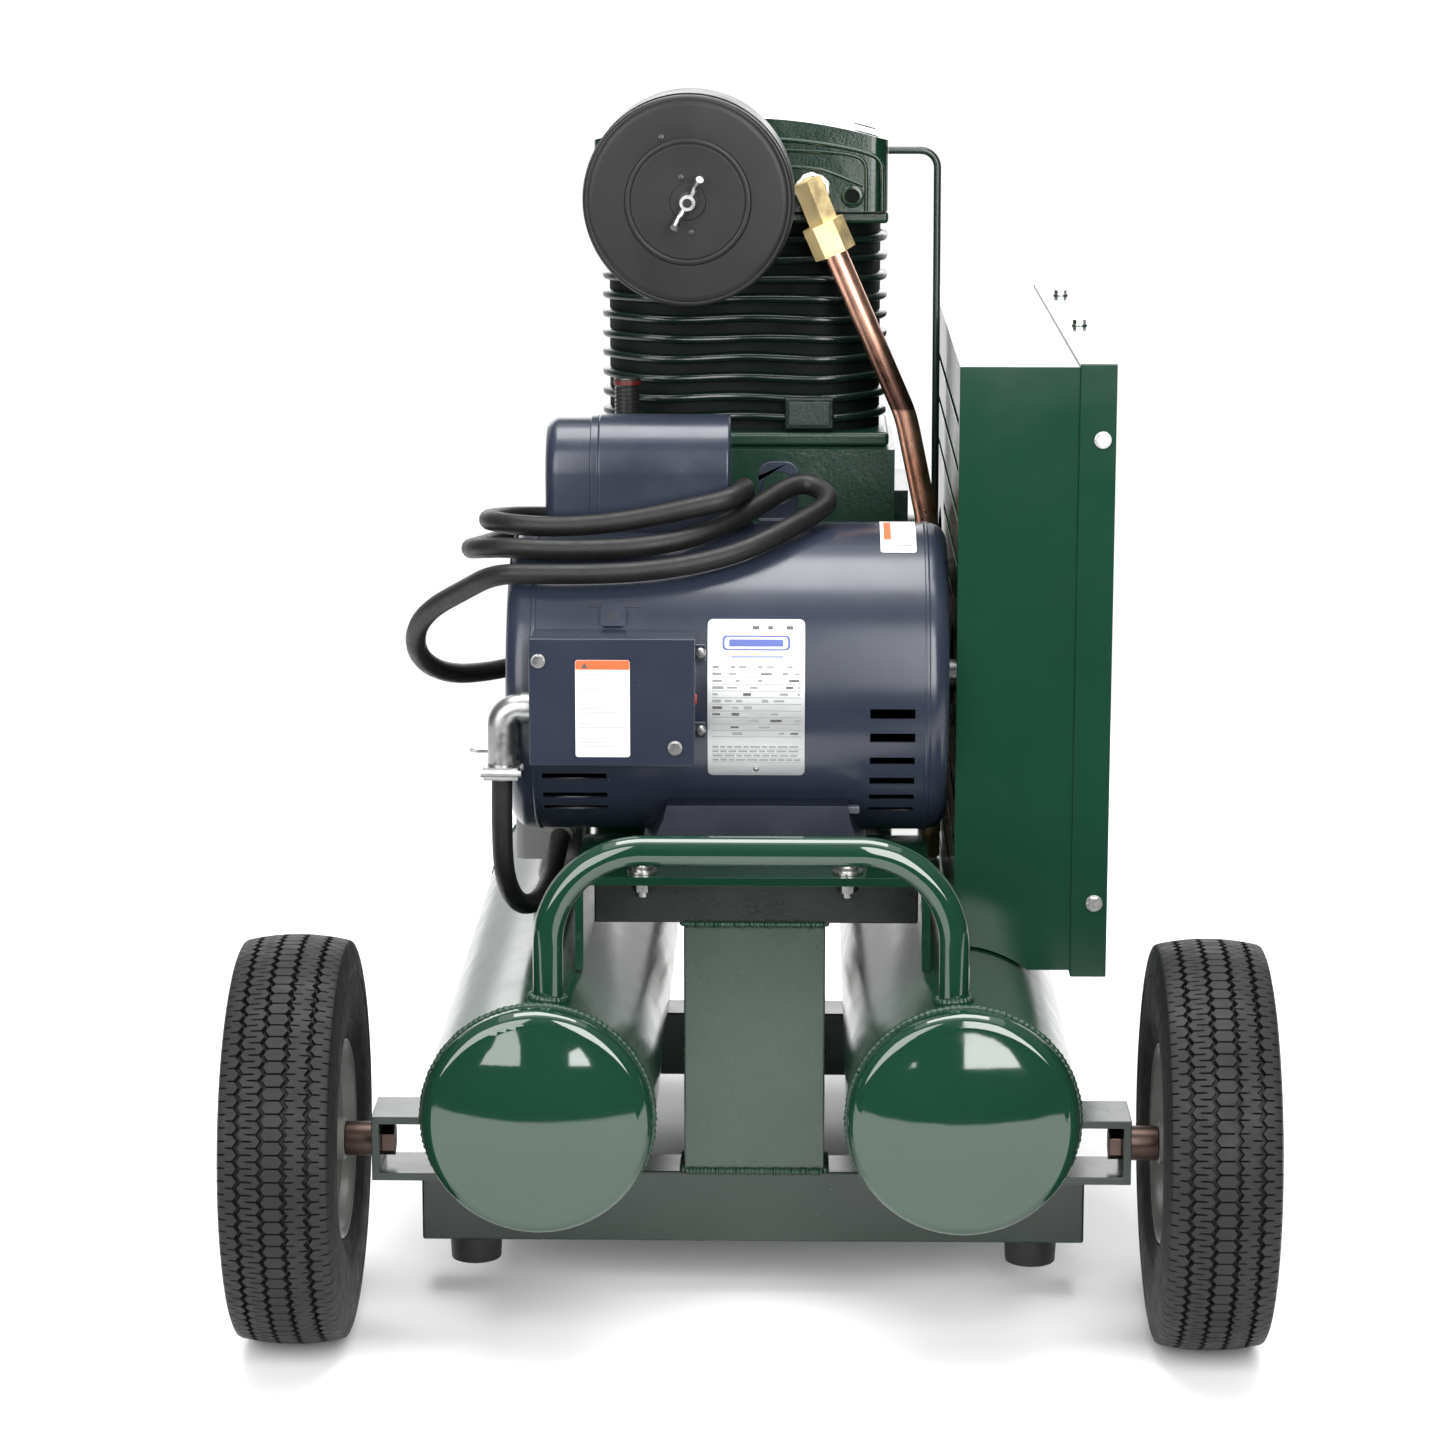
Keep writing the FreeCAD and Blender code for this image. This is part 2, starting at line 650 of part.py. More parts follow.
rod_pts = [(90.4, 400.0, 730.5), (125.0, 400.0, 730.5), (126.3, 400.0, 560.0), (126.3, 400.0, 236.0)]
rod = tube_shape(rod_pts, 2.6, [12, 400], name="brace_rod")
feature("brace_rod", rod)

# ================================================================== motor
bell_l, bell_r = -160.0, 126.0
shell_tube = cut(cyl(motor_radius, 254, (-142, motor_y, motor_z), "+X"), cyl(motor_radius - 3, 260, (-145, motor_y, motor_z), "+X"))
slots = []
for sz, h_ in ((392.5, 6.5), (376.5, 6), (360.3, 5), (345.5, 5), (332.8, 4), (322.6, 3)):
    slots.append(boxc(75, 104, 60, 130, sz - h_ / 2, sz + h_ / 2))
for sz, h_ in ((348.2, 4), (333.3, 4), (323.1, 3)):
    slots.append(boxc(-137, -95, 60, 130, sz - h_ / 2, sz + h_ / 2))
# the same slots on the back
for sz, h_ in ((376.5, 6), (360.3, 5), (345.5, 5), (332.8, 4)):
    slots.append(boxc(75, 104, 220, 290, sz - h_ / 2, sz + h_ / 2))
    slots.append(boxc(-137, -95, 220, 290, sz - h_ / 2, sz + h_ / 2))
node(cut(shell_tube, *slots), "motor_shell")


def end_bell(x_in, x_out, sign):
    R = motor_radius.val - 0.3
    L = abs(x_out - x_in)
    k = 12.0
    s45 = math.sin(math.radians(45))
    segs = [
        (0.2, R), (L - k, R), ((L - k + k * s45, R - k + k * s45), (L, R - k)),
        (L, motor_shaft_radius.val + 1.0), (L - 3, motor_shaft_radius.val + 1.0), (L - 3, 26.0), (L - 14, 26.0), (L - 14, 31.0),
        (L - 5, 34.0), (L - 4, R - k - 2), (L - k, R - 4), (0.2, R - 4),
    ]
    return revolve_shape(segs, (x_in, motor_y.val, motor_z.val), (sign, 0, 0))


feature("motor_end_bells", Part.makeCompound([end_bell(-142, bell_l, -1), end_bell(112, bell_r, 1)]))

cradle = cut(boxc(-62, 68, 95, 255, 294.2, 330), cyl(motor_radius + 0.2, 300, (-150, motor_y, motor_z), "+X"),
             boxc(-58, 64, 99, 251, 290, 340))
base_plate = boxc(-62, 68, 76, 274, deck_top + 0.2, deck_top + 4.2)
node(fuse(base_plate, cradle), "motor_base")

node(cut(cyl(motor_radius - 3.2, 118, (-62, motor_y, motor_z), "+X"), cyl(60, 130, (-68, motor_y, motor_z), "+X")), "motor_stator")
sh = motor_shaft_radius
body_rev("motor_rotor",
         [(-152, 0), (186, 0), (186, sh), (56, sh), (56, 59.3), (-56, 59.3), (-56, sh), (-152, sh)],
         (0, motor_y, motor_z))
bear = []
for bx0 in (bell_l + 3.3, bell_r - 13.7):
    bear.append(cut(cyl(25.8, 10.4, (bx0, motor_y, motor_z), "+X"), cyl(sh + run_clear, 14, (bx0 - 1, motor_y, motor_z), "+X")))
for bx0, bl0 in ((-104.9, 13.5), (97, 14)):
    bear.append(cut(cyl(31.8, bl0, (bx0, pump_y, crank_z), "+X"), cyl(crank_radius + run_clear, 20, (bx0 - 2, pump_y, crank_z), "+X")))
node(group(*bear), "shaft_bearings")

tb = cut(boxc(-141, -38, 48.2, 130, 365, 445), cyl(motor_radius + 0.2, 300, (-150, motor_y, motor_z), "+X"), boxc(-138, -41, 40, 125, 368, 442))
tb = cut(tb, cyl(4.3, 10, (-44, 62, 404), "+X"))
node(tb, "terminal_box")
node(rounded(cut(boxc(-142.3, -36.7, 45, 52, 363.8, 446.2), boxc(-141.2, -37.8, 48, 60, 364.8, 445.2)), 1.6,
             lambda e: along("Z")(e) and abs(e.Vertexes[0].Point.y - (45 - Y0.val)) < 0.01), "terminal_box_cover")
node(fuse(cyl(3.6, 9, (-45, 62, 404), "+X"), cyl(6, 2, (-47, 62, 404), "+X")), "reset_button")

cc_out = rounded(boxc(-138, -16.5, 152, 223.5, 470, 571), 16, lambda e: along("X")(e) and e.Vertexes[0].Point.z > 560)
cc_in = rounded(boxc(-135.5, -19, 154.5, 221, 460, 568.5), 13.5, lambda e: along("X")(e) and e.Vertexes[0].Point.z > 560)
node(cut(cut(cc_out, cc_in), cyl(motor_radius + 0.2, 300, (-150, motor_y, motor_z), "+X")), "capacitor_cover")
node(cyl(24, 96, (-125, 189, 532), "+X"), "start_capacitor")

# a thin plate bent round the motor shell
a0, a1 = 210.9, 149.1
ang_top, ang_bot = math.atan2(451 - motor_z.val, 87.7 - motor_y.val), math.atan2(350.3 - motor_z.val, 85.0 - motor_y.val)
rn0, rn1 = motor_radius.val + 0.15, motor_radius.val + 0.75


def ring_piece(x0, x1, r0, r1, t0, t1):
    def at(r, t):
        return V(x0, motor_y.val + r * math.cos(t), motor_z.val + r * math.sin(t))
    tm = (t0 + t1) / 2
    es = [Part.Arc(at(r1, t0), at(r1, tm), at(r1, t1)).toShape(), Part.LineSegment(at(r1, t1), at(r0, t1)).toShape(),
          Part.Arc(at(r0, t1), at(r0, tm), at(r0, t0)).toShape(), Part.LineSegment(at(r0, t0), at(r1, t0)).toShape()]
    return Part.Face(Part.Wire(es)).extrude(V(x1 - x0, 0, 0))


if ang_bot < 0:
    ang_bot += 2 * math.pi
feature("nameplate", ring_piece(-29.4, 33.0, rn0, rn1, ang_top, ang_bot))

lug = cut(fuse(rounded(boxc(1.5, 28.5, 204.5, 209.5, 488, 537), 9, lambda e: along("Y")(e) and e.Vertexes[0].Point.z > 530),
               boxc(1.5, 28.5, 200, 217, 480, 498.5)),
          cyl(10.6, 20, (15.2, 198, 519.5), "+Y"), cyl(motor_radius + 0.15, 300, (-150, motor_y, motor_z), "+X"))
node(lug, "lifting_lug")

# ================================================================== belt drive
groove = 9.0


def vee_rim(R, w):
    return [(-w, R), (-7.6, R), (-6.6, R - groove), (6.6, R - groove), (7.6, R), (w, R)]


rp = pulley_radius
body_rev("motor_pulley", [(-16, sh), (16, sh), (16, 20), (11, 24), (11, rp), (7.8, rp), (6.6, rp - groove), (-6.6, rp - groove), (-7.8, rp), (-11, rp), (-11, 24), (-16, 20)],
         (belt_x, motor_y, motor_z))
rf = flywheel_radius
fly = body_rev("flywheel", [(-19, crank_radius), (19, crank_radius), (19, 28), (5, 34), (5, rf - 26), (15, rf - 20), (15, rf), (7.8, rf), (6.6, rf - groove), (-6.6, rf - groove), (-7.8, rf), (-15, rf), (-15, rf - 20), (-5, rf - 26), (-5, 34), (-19, 28)],
               (belt_x, pump_y, crank_z))
doc.recompute()
hole_sk = pocket_through(fly, "YZ_Plane", [("circle", 86, 0, 30)])
polar(fly, hole_sk, 5)
doc.recompute()


def belt_shape():
    c1 = V(0, motor_y.val, motor_z.val)
    c2 = V(0, pump_y.val, crank_z.val)
    d = c2 - c1
    dist = d.Length
    u = V(d).normalize()
    w = V(0, -u.z, u.y)

    def loop(r1, r2, x):
        beta = math.asin((r2 - r1) / dist)
        s, c = math.sin(beta), math.cos(beta)
        n_up = w * c - u * s
        n_dn = w * (-c) - u * s
        p1, p2 = c1 + n_up * r1, c2 + n_up * r2
        p3, p4 = c2 + n_dn * r2, c1 + n_dn * r1
        sh_ = V(x, 0, 0)
        es = [Part.LineSegment(p1 + sh_, p2 + sh_).toShape(), Part.Arc(p2 + sh_, c2 + u * r2 + sh_, p3 + sh_).toShape(),
              Part.LineSegment(p3 + sh_, p4 + sh_).toShape(), Part.Arc(p4 + sh_, c1 - u * r1 + sh_, p1 + sh_).toShape()]
        return Part.Wire(es)

    x0 = belt_x.val - 5.6
    r1o, r2o = pulley_radius.val + 0.6, flywheel_radius.val + 0.6
    r1i, r2i = pulley_radius.val - groove + 0.8, flywheel_radius.val - groove + 0.8
    outer = Part.Face(loop(r1o, r2o, x0)).extrude(V(11.2, 0, 0))
    inner = Part.Face(loop(r1i, r2i, x0 - 1)).extrude(V(14, 0, 0))
    return outer.cut(inner)


feature("drive_belt", belt_shape())

# ================================================================== pump
case = fuse(boxc(-116, 96, 366, 504, deck_top + 0.2, 523), cut(boxc(-122, 108, 340, 530, deck_top + 0.2, deck_top + 13), *[cyl(5.1, 20, (fx_, fy_, 288)) for fx_ in (-99, 95) for fy_ in (352, 518)]),
            cyl(46, 24, (92, pump_y, crank_z), "+X"), cyl(50, 14, (-124, pump_y, crank_z), "+X"), boxc(96, 106, 380, 490, 452, 492),
            cyl(9, 7.8, (-92, 366.5, 478), "-Y"))
room = fuse(boxc(-104, 84, 377, 493, 306, 510), cyl(16, 40, (82, pump_y, crank_z), "+X"), cyl(32, 14.4, (96.8, pump_y, crank_z), "+X"), cyl(32, 15, (-105, pump_y, crank_z), "+X"),
            cyl(34, 20, (cyl_left_x, pump_y, 506)), cyl(34, 20, (cyl_right_x, pump_y, 506)))
case = cut(case, room)
node(case, "crankcase")

rc = crank_radius
crank_parts = [cyl(rc, 12.6, (-103.5, pump_y, crank_z), "+X"), cyl(45, 9, (-91, pump_y, crank_z), "+X"),
               cyl(11, 42, (-82.5, pump_y, crank_z + 22), "+X"), cyl(45, 9, (-41, pump_y, crank_z), "+X"),
               cyl(rc, 52, (-33, pump_y, crank_z), "+X"), cyl(45, 9, (18, pump_y, crank_z), "+X"),
               cyl(11, 38, (26, pump_y, crank_z - 22), "+X"), cyl(45, 9, (63, pump_y, crank_z), "+X"),
               cyl(rc, 111, (71, pump_y, crank_z), "+X")]
node(fuse(*crank_parts), "crankshaft")

fin_parts = [boxc(-115, 92, 381, 489, 523.2, 533), cyl(42, 158, (cyl_left_x, pump_y, 530)), cyl(42, 158, (cyl_right_x, pump_y, 530)),
             boxc(-113.5, 90.5, 383, 487, 681, 689), boxc(-34, 12, 418, 452, 530, 685)]
for i in range(10):
    fz = 541 + i * fin_pitch.val * 0.93
    for cx in (cyl_left_x, cyl_right_x):
        fin_parts.append(cyl(fin_radius, 4, (cx, pump_y, fz)))
node(cut(fuse(*fin_parts), cyl(bore_radius, 180, (cyl_left_x, pump_y, 515)), cyl(bore_radius, 180, (cyl_right_x, pump_y, 515))), "cylinder_block")

pist = []
for cx, pz in ((cyl_left_x, 634), (cyl_right_x, 590)):
    pist.append(cut(cyl(bore_radius - 0.3, 46, (cx, pump_y, pz)), cyl(26, 38, (cx, pump_y, pz - 1))))
    pist.append(cyl(7, 51, (cx, pump_y - 25.5, pz + 18), "+Y"))
node(group(*pist), "pistons")

crown = feature(None, Part.Face(Part.Wire([
    Part.LineSegment(V(-118, 370, 738), V(-118, 370, 688)).toShape(), Part.LineSegment(V(-118, 370, 688), V(92, 370, 688)).toShape(),
    Part.LineSegment(V(92, 370, 688), V(92, 370, 738)).toShape(),
    Part.Arc(V(92, 370, 738), V(-13, 370, 754.3), V(-118, 370, 738)).toShape()])).extrude(V(0, 130, 0)))
hd = common(rounded(boxc(-116, 90, 377, 493, 689.2, 762), 12, along("Z")), crown)
node(cut(hd, cyl(9.6, 24, (37, 370, 704.4), "+Y"), cyl(5, 18, (65, 370, 700), "+Y"),
         cyl(26, 24, (cyl_left_x, pump_y, 684)), cyl(26, 24, (cyl_right_x, pump_y, 684)),
         *[cyl(9.5, 30, (bx_, by_, 733)) for bx_ in (-101, 75) for by_ in (390, 480)],
         *[cyl(9.5, 30, (-13, by_, 743)) for by_ in (390, 480)]), "pump_head")

dip = fuse(cyl(7.8, 106, (-92, 348.5, 470)), cyl(6, 10, (-92, 358.5, 478), "-Y"), cyl(9.5, 5, (-92, 348.5, 466)))
node(dip, "oil_filler")

# ================================================================== intake filter
fy = filter_front
neck = fuse(cut(cyl(19, 61.5, (filter_x, 315.3, filter_z), "+Y"), cyl(15, 64, (filter_x, 315, filter_z), "+Y")),
            cut(cyl(filter_radius - 5, 4, (filter_x, 312, filter_z), "+Y"), cyl(14, 8, (filter_x, 310, filter_z), "+Y")),
            boxc(filter_x - 15.5, filter_x + 15.5, 312, 316, filter_z - 3, filter_z + 3),
            cyl(3, 98, (filter_x, 217, filter_z), "+Y"))
node(neck, "filter_base")
Rf = filter_radius.val
canister = revolve_shape([
    (0.0, 8.0), (0.0, 38.0), (2.0, 39.5), (2.0, Rf - 8), ((4.0, Rf - 3.2), (9.0, Rf - 1.2)), (16.0, Rf - 1.0), (17.0, Rf), (82.0, Rf), (82.0, Rf - 1.6),
    (17.6, Rf - 1.6), (10.0, Rf - 3.0), (4.0, Rf - 9.5), (3.6, 40.0), (1.8, 37.5), (1.8, 8.0)],
    (filter_x.val, fy.val, filter_z.val), (0, 1, 0))
washer = Part.makeCylinder(12, 1.6, V(filter_x.val, fy.val - 1.8, filter_z.val), V(0, 1, 0)).cut(
    Part.makeCylinder(3.2, 4, V(filter_x.val, fy.val - 3, filter_z.val), V(0, 1, 0)))
canister = canister.cut(Part.makeCylinder(3.2, 8, V(filter_x.val, fy.val - 3, filter_z.val), V(0, 1, 0)))
feature("filter_canister", Part.makeCompound([canister, washer]))
wing = []
hubn = Part.makeCone(5.2, 6.8, 8, V(filter_x.val, 219.8, filter_z.val), V(0, 1, 0))
for sg in (-1, 1):
    ang = math.radians(62)
    dx, dz = math.cos(ang) * sg, math.sin(ang) * sg
    wpts = [(filter_x.val + dx * 3.0, 224.5, filter_z.val + dz * 3.0), (filter_x.val + dx * 12, 221.0, filter_z.val + dz * 12), (filter_x.val + dx * 18, 213.5, filter_z.val + dz * 18)]
    wing.append(tube_shape(wpts, 2.6, [9.0], name="wing"))
wn = hubn.fuse(wing).cut(Part.makeCylinder(3.06, 14, V(filter_x.val, 214, filter_z.val), V(0, 1, 0)))
feature("filter_wing_nut", wn)

# ================================================================== belt guard
gs = guard_sheet
pan_out = boxc(guard_inner, 212, guard_front + 2.2, guard_back - 2.2, guard_bottom + 4, guard_top - 2.2)
pan_in = boxc(guard_inner + gs, 220, guard_front + 4.2, guard_back - 4.2, guard_bottom + 6, guard_top - 4.2)
shaft_holes = [cyl(34, 10, (guard_inner - 3, motor_y, motor_z), "+X"), cyl(52, 10, (guard_inner - 3, pump_y, crank_z), "+X")]
louv = []
for k in range(12):
    lz = 236 + k * 30.5
    louv.append(boxc(guard_inner - 1, guard_inner + 3, 300 if abs(lz + 3 - motor_z.val) < 50 else 112, 372 if abs(lz + 3 - crank_z.val) < 66 else 560, lz, lz + 6)
                if not (abs(lz + 3 - motor_z.val) < 50) else boxc(guard_inner - 1, guard_inner + 3, 232, 372, lz, lz + 6))
tank_relief = cyl(tank_radius + 1.2, 640, (tank_x, -60, tank_z), "+Y")
node(cut(pan_out, pan_in, tank_relief, *(shaft_holes + louv)), "guard_pan")
cov = cut(boxc(207.4, guard_outer, guard_front, guard_back, guard_bottom, guard_top), boxc(200, guard_outer - gs, guard_front + gs, guard_back - gs, guard_bottom + gs, guard_top - gs))
node(cov, "guard_cover")

# ================================================================== fasteners
fs = []


def screw(pos, axis, across=8.0, head=3.5, shank=2.0, length=6.0, washer_r=0.0):
    x, y, z = pos
    dv = {"+X": (1, 0, 0), "-X": (-1, 0, 0), "+Y": (0, 1, 0), "-Y": (0, -1, 0), "+Z": (0, 0, 1), "-Z": (0, 0, -1)}[axis]
    parts = [hexa(across, head, (x, y, z), axis)]
    if length:
        parts.append(cyl(shank, length, (x - dv[0] * length, y - dv[1] * length, z - dv[2] * length), axis))
    if washer_r:
        parts.append(cyl(washer_r, 1.0, (x, y, z), axis))
    fs.append(fuse(*parts) if len(parts) > 1 else parts[0])


screw((222.4, 97.9, 566.5), "-Y", 8, 3.5, length=0, washer_r=5.5)
screw((222.4, 97.9, 262), "-Y", 8, 3.5, length=0, washer_r=5.5)
for gy in (330, 540):
    screw((222, gy, 615.1), "+Z", 8, 4, length=0, washer_r=5.5)
screw((-136.1, 44.9, 431.8), "-Y", 7.5, 3, length=0, washer_r=4.6)
screw((-49.4, 44.9, 375.8), "-Y", 7.5, 3, length=0, washer_r=4.6)
for bx0 in (-71, 61):
    fs.append(fuse(cyl(4.2, 21.5, (bx0, 60, 275)), cyl(10, 1.6, (bx0, 60, 291.1)), cyl(7, 3, (bx0, 60, 292.5)),
                   hexa(12.5, 6.5, (bx0, 60, 278.8))))
for bx0 in (-99, 95):
    for by0 in (352, 518):
        fs.append(fuse(cyl(4.8, 26, (bx0, by0, 279.5)), hexa(15, 8, (bx0, by0, 304.4)), hexa(15, 6, (bx0, by0, 279.2))))
for bx0 in (-101, -13, 75):
    for by0 in (390, 480):
        fs.append(hexa(14, 7, (bx0, by0, 733.3 if abs(bx0 + 13) > 50 else 743.3)))
cut_holes = []
node(group(*fs), "fasteners")

# ================================================================== cords
cr = cord_diameter.val / 2
cy0 = 62.5
conn = [Part.makeCylinder(9.8, 7, V(-141.3, cy0, 398), V(-1, 0, 0)),
        tube_shape([(-148, cy0, 398), (-161, cy0, 398), (-161, cy0, 352)], 9.0, [12], name="connector_body"),
        Part.makeCylinder(10, 6, V(-161, cy0, 352), V(0, 0, 1))]
cb = conn[0].fuse(conn[1:])
for sy in (-10.5, 10.5):
    cb = cb.fuse(Part.makeCylinder(2.4, 26, V(-174, cy0 + sy, 357), V(1, 0, 0)))
cb = cb.fuse(Part.makeBox(22, 25, 8, V(-172, cy0 - 12.5, 353)))
cb = cb.cut(Part.makeCylinder(cr + 0.1, 8, V(-161, cy0, 345), V(0, 0, 1)))
feature("cable_connector", cb)

lead_pts = [(-161.0, 62.5, 351.8), (-162.0, 65.0, 312.0), (-161.0, 82.0, 277.0), (-154.5, 118.0, 253.5), (-146.0, 162.0, 244.5),
            (-140.0, 206.0, 247.0), (-137.0, 243.0, 260.5), (-137.0, 269.4, 264.0)]
lead_pts[-2] = (-137.0, 244.0, 263.8)
feature("motor_lead", tube_shape(lead_pts, cr, name="motor_lead"))

# The supply cord leaves the switch, loops out past the motor's left end, crosses the motor, folds back,
# and is wound twice round the capacitor cover before it drops behind the motor to its plug.
cord_pts = [
    (-134.0, 315.0, 346.6), (-134.0, 315.0, 363.0), (-144.0, 311.0, 377.0), (-164.0, 302.0, 380.0), (-187.0, 280.0, 379.0),
    (-208.0, 250.0, 383.0), (-223.0, 220.0, 395.0), (-229.0, 196.0, 412.0), (-225.0, 175.0, 431.0), (-212.0, 155.0, 447.0),
    (-192.0, 132.0, 461.0), (-168.0, 101.5, 478.0), (-140.0, 95.5, 479.0), (-105.0, 96.0, 479.0), (-70.0, 98.0, 480.5),
    (-38.0, 103.5, 484.5), (-9.0, 112.5, 491.0), (12.0, 126.0, 499.0), (28.0, 142.0, 505.5), (40.0, 158.0, 509.5),
    (48.0, 172.0, 514.0), (46.0, 187.0, 519.5), (34.0, 196.0, 524.0), (21.0, 188.0, 522.5), (6.0, 168.5, 515.5),
    (-13.0, 144.0, 507.5), (-40.0, 125.0, 498.0), (-72.0, 116.0, 493.5), (-105.0, 114.0, 492.0), (-137.0, 114.5, 492.0),
    (-162.0, 119.0, 492.5), (-180.0, 135.0, 489.5), (-188.0, 160.0, 485.0), (-187.0, 190.0, 481.0), (-178.0, 220.0, 479.5),
    (-162.0, 243.0, 481.0), (-140.0, 254.5, 478.0), (-114.0, 258.5, 474.0), (-88.0, 259.0, 472.0), (-60.0, 257.0, 474.5),
    (-34.0, 249.0, 482.0), (-12.5, 237.0, 491.5), (-7.0, 214.0, 506.5), (-7.5, 190.0, 518.0), (-7.5, 168.0, 525.5), (-7.0, 148.0, 527.0),
    (-16.0, 131.5, 522.5), (-40.0, 128.0, 517.5), (-72.0, 127.0, 510.5), (-104.0, 127.0, 506.0), (-134.0, 128.5, 504.5),
    (-156.0, 134.0, 505.0), (-171.0, 148.0, 505.0), (-177.0, 170.0, 503.0), (-174.0, 195.0, 500.0), (-163.0, 218.0, 497.5),
    (-144.0, 235.5, 495.0), (-117.0, 241.0, 493.0), (-85.0, 242.0, 492.5), (-57.0, 249.0, 494.0), (-40.0, 265.0, 489.0),
    (-33.0, 284.0, 470.0), (-31.0, 300.0, 436.0), (-30.0, 309.0, 400.0), (-24.0, 313.0, 364.0), (-8.0, 314.0, 332.0),
    (18.0, 314.0, 312.5), (42.0, 314.0, 312.0),
]
feature("supply_cord", tube_shape(cord_pts, cr, name="supply_cord"))

# moulded mains plug lying on the deck between motor and pump, blades towards +X
pz = 312.0
grip = revolve_shape([(0.0, 0.0), (0.0, 9.5), (16.0, 12.5), (26.0, 19.5), (44.0, 19.5), (46.0, 17.5), (46.0, 0.0)],
                     (42.1, 314, pz), (1, 0, 0))
blades = [Part.makeBox(17, 6.3, 1.6, V(88.0, 314 - 3.15, pz + 5.6)), Part.makeBox(17, 6.3, 1.6, V(88.0, 314 - 3.15, pz - 7.2)),
          Part.makeCylinder(2.4, 19, V(88.0, 314 + 10.5, pz), V(1, 0, 0))]
feature("supply_plug", Part.makeCompound([grip] + [b.cut(grip) for b in blades]))

# ------------------------------------------------------------------ checks and export
doc.recompute()
bad = [o.Name + " " + o.Label for o in doc.Objects if "Invalid" in o.State or "Error" in o.State]
if bad:
    raise RuntimeError("failed objects: " + ", ".join(bad))
os.makedirs("parts", exist_ok=True)
for o in NODES:
    s = o.Shape
    if s.isNull() or not s.isValid() or not s.Solids:
        raise RuntimeError("bad shape: " + o.Label)
for o in NODES:
    o.Shape.exportStep("parts/" + o.Label + ".step")
    bb = o.Shape.BoundBox
    print("%-24s solids %2d  vol %10.0f  x %7.1f %7.1f  y %7.1f %7.1f  z %7.1f %7.1f" % (
        o.Label, len(o.Shape.Solids), o.Shape.Volume, bb.XMin, bb.XMax, bb.YMin + Y0.val, bb.YMax + Y0.val, bb.ZMin, bb.ZMax))
print(len(NODES), "nodes")
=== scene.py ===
import bpy
import bmesh
import json
import math
import random
from mathutils import Matrix, Vector

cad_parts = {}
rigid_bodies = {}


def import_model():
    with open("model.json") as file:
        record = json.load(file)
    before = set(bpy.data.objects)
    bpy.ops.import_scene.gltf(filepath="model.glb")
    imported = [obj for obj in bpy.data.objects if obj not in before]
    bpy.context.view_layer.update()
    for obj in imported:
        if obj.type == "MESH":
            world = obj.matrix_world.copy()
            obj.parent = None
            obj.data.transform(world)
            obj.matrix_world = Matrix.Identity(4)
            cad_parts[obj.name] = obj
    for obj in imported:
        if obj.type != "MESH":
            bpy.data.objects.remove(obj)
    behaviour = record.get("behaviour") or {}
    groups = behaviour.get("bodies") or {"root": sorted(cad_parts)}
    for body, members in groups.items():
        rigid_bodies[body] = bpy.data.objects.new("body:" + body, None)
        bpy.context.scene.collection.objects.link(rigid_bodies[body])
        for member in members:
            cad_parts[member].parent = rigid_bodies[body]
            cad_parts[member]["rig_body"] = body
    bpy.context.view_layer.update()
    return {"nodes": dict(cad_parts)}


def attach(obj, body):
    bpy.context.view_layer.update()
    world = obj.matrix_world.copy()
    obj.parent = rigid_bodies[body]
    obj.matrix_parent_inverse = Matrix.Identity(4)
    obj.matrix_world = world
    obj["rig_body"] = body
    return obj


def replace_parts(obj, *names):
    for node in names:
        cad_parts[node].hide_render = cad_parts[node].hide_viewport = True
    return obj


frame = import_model()
nodes = frame["nodes"]
scene = bpy.context.scene
rng = random.Random(7)
Y0 = 253.0                     # wheel axle to the middle of the footprint, mm
FRAME_BODY = "frame"


def P(x, y, z):
    """Design millimetres, y from the wheel axle, to the row frame in metres."""
    return Vector((x / 1000.0, (y - Y0) / 1000.0, z / 1000.0))


# ------------------------------------------------------------------ camera
TH, PS = math.radians(11.72), math.radians(1.153)
look = Vector((-math.sin(PS) * math.cos(TH), math.cos(PS) * math.cos(TH), -math.sin(TH)))
right = Vector((math.cos(PS), math.sin(PS), 0.0))
up = right.cross(look)
cam_data = bpy.data.cameras.new("camera")
cam_data.lens, cam_data.sensor_width, cam_data.sensor_fit = 100.0, 36.0, "AUTO"
cam_data.clip_start, cam_data.clip_end = 0.05, 200.0
cam = bpy.data.objects.new("camera", cam_data)
scene.collection.objects.link(cam)
m = Matrix.Identity(4)
for i, v in enumerate((right, up, -look)):
    for k in range(3):
        m[k][i] = v[k]
m.translation = P(31.0, -2449.0, 910.0)
cam.matrix_world = m
scene.camera = cam

# ------------------------------------------------------------------ materials


def nodes_of(mat):
    mat.use_nodes = True
    nt = mat.node_tree
    nt.nodes.clear()
    out = nt.nodes.new("ShaderNodeOutputMaterial")
    b = nt.nodes.new("ShaderNodeBsdfPrincipled")
    nt.links.new(b.outputs[0], out.inputs[0])
    return nt, b


def coords(nt, scale=(1, 1, 1)):
    tc = nt.nodes.new("ShaderNodeTexCoord")
    mp = nt.nodes.new("ShaderNodeMapping")
    mp.inputs["Scale"].default_value = scale
    nt.links.new(tc.outputs["Object"], mp.inputs["Vector"])
    return mp.outputs["Vector"]


def noise(nt, vec, scale, detail=4.0, rough=0.55):
    n = nt.nodes.new("ShaderNodeTexNoise")
    n.inputs["Scale"].default_value = scale
    n.inputs["Detail"].default_value = detail
    n.inputs["Roughness"].default_value = rough
    nt.links.new(vec, n.inputs["Vector"])
    return n.outputs["Fac"]


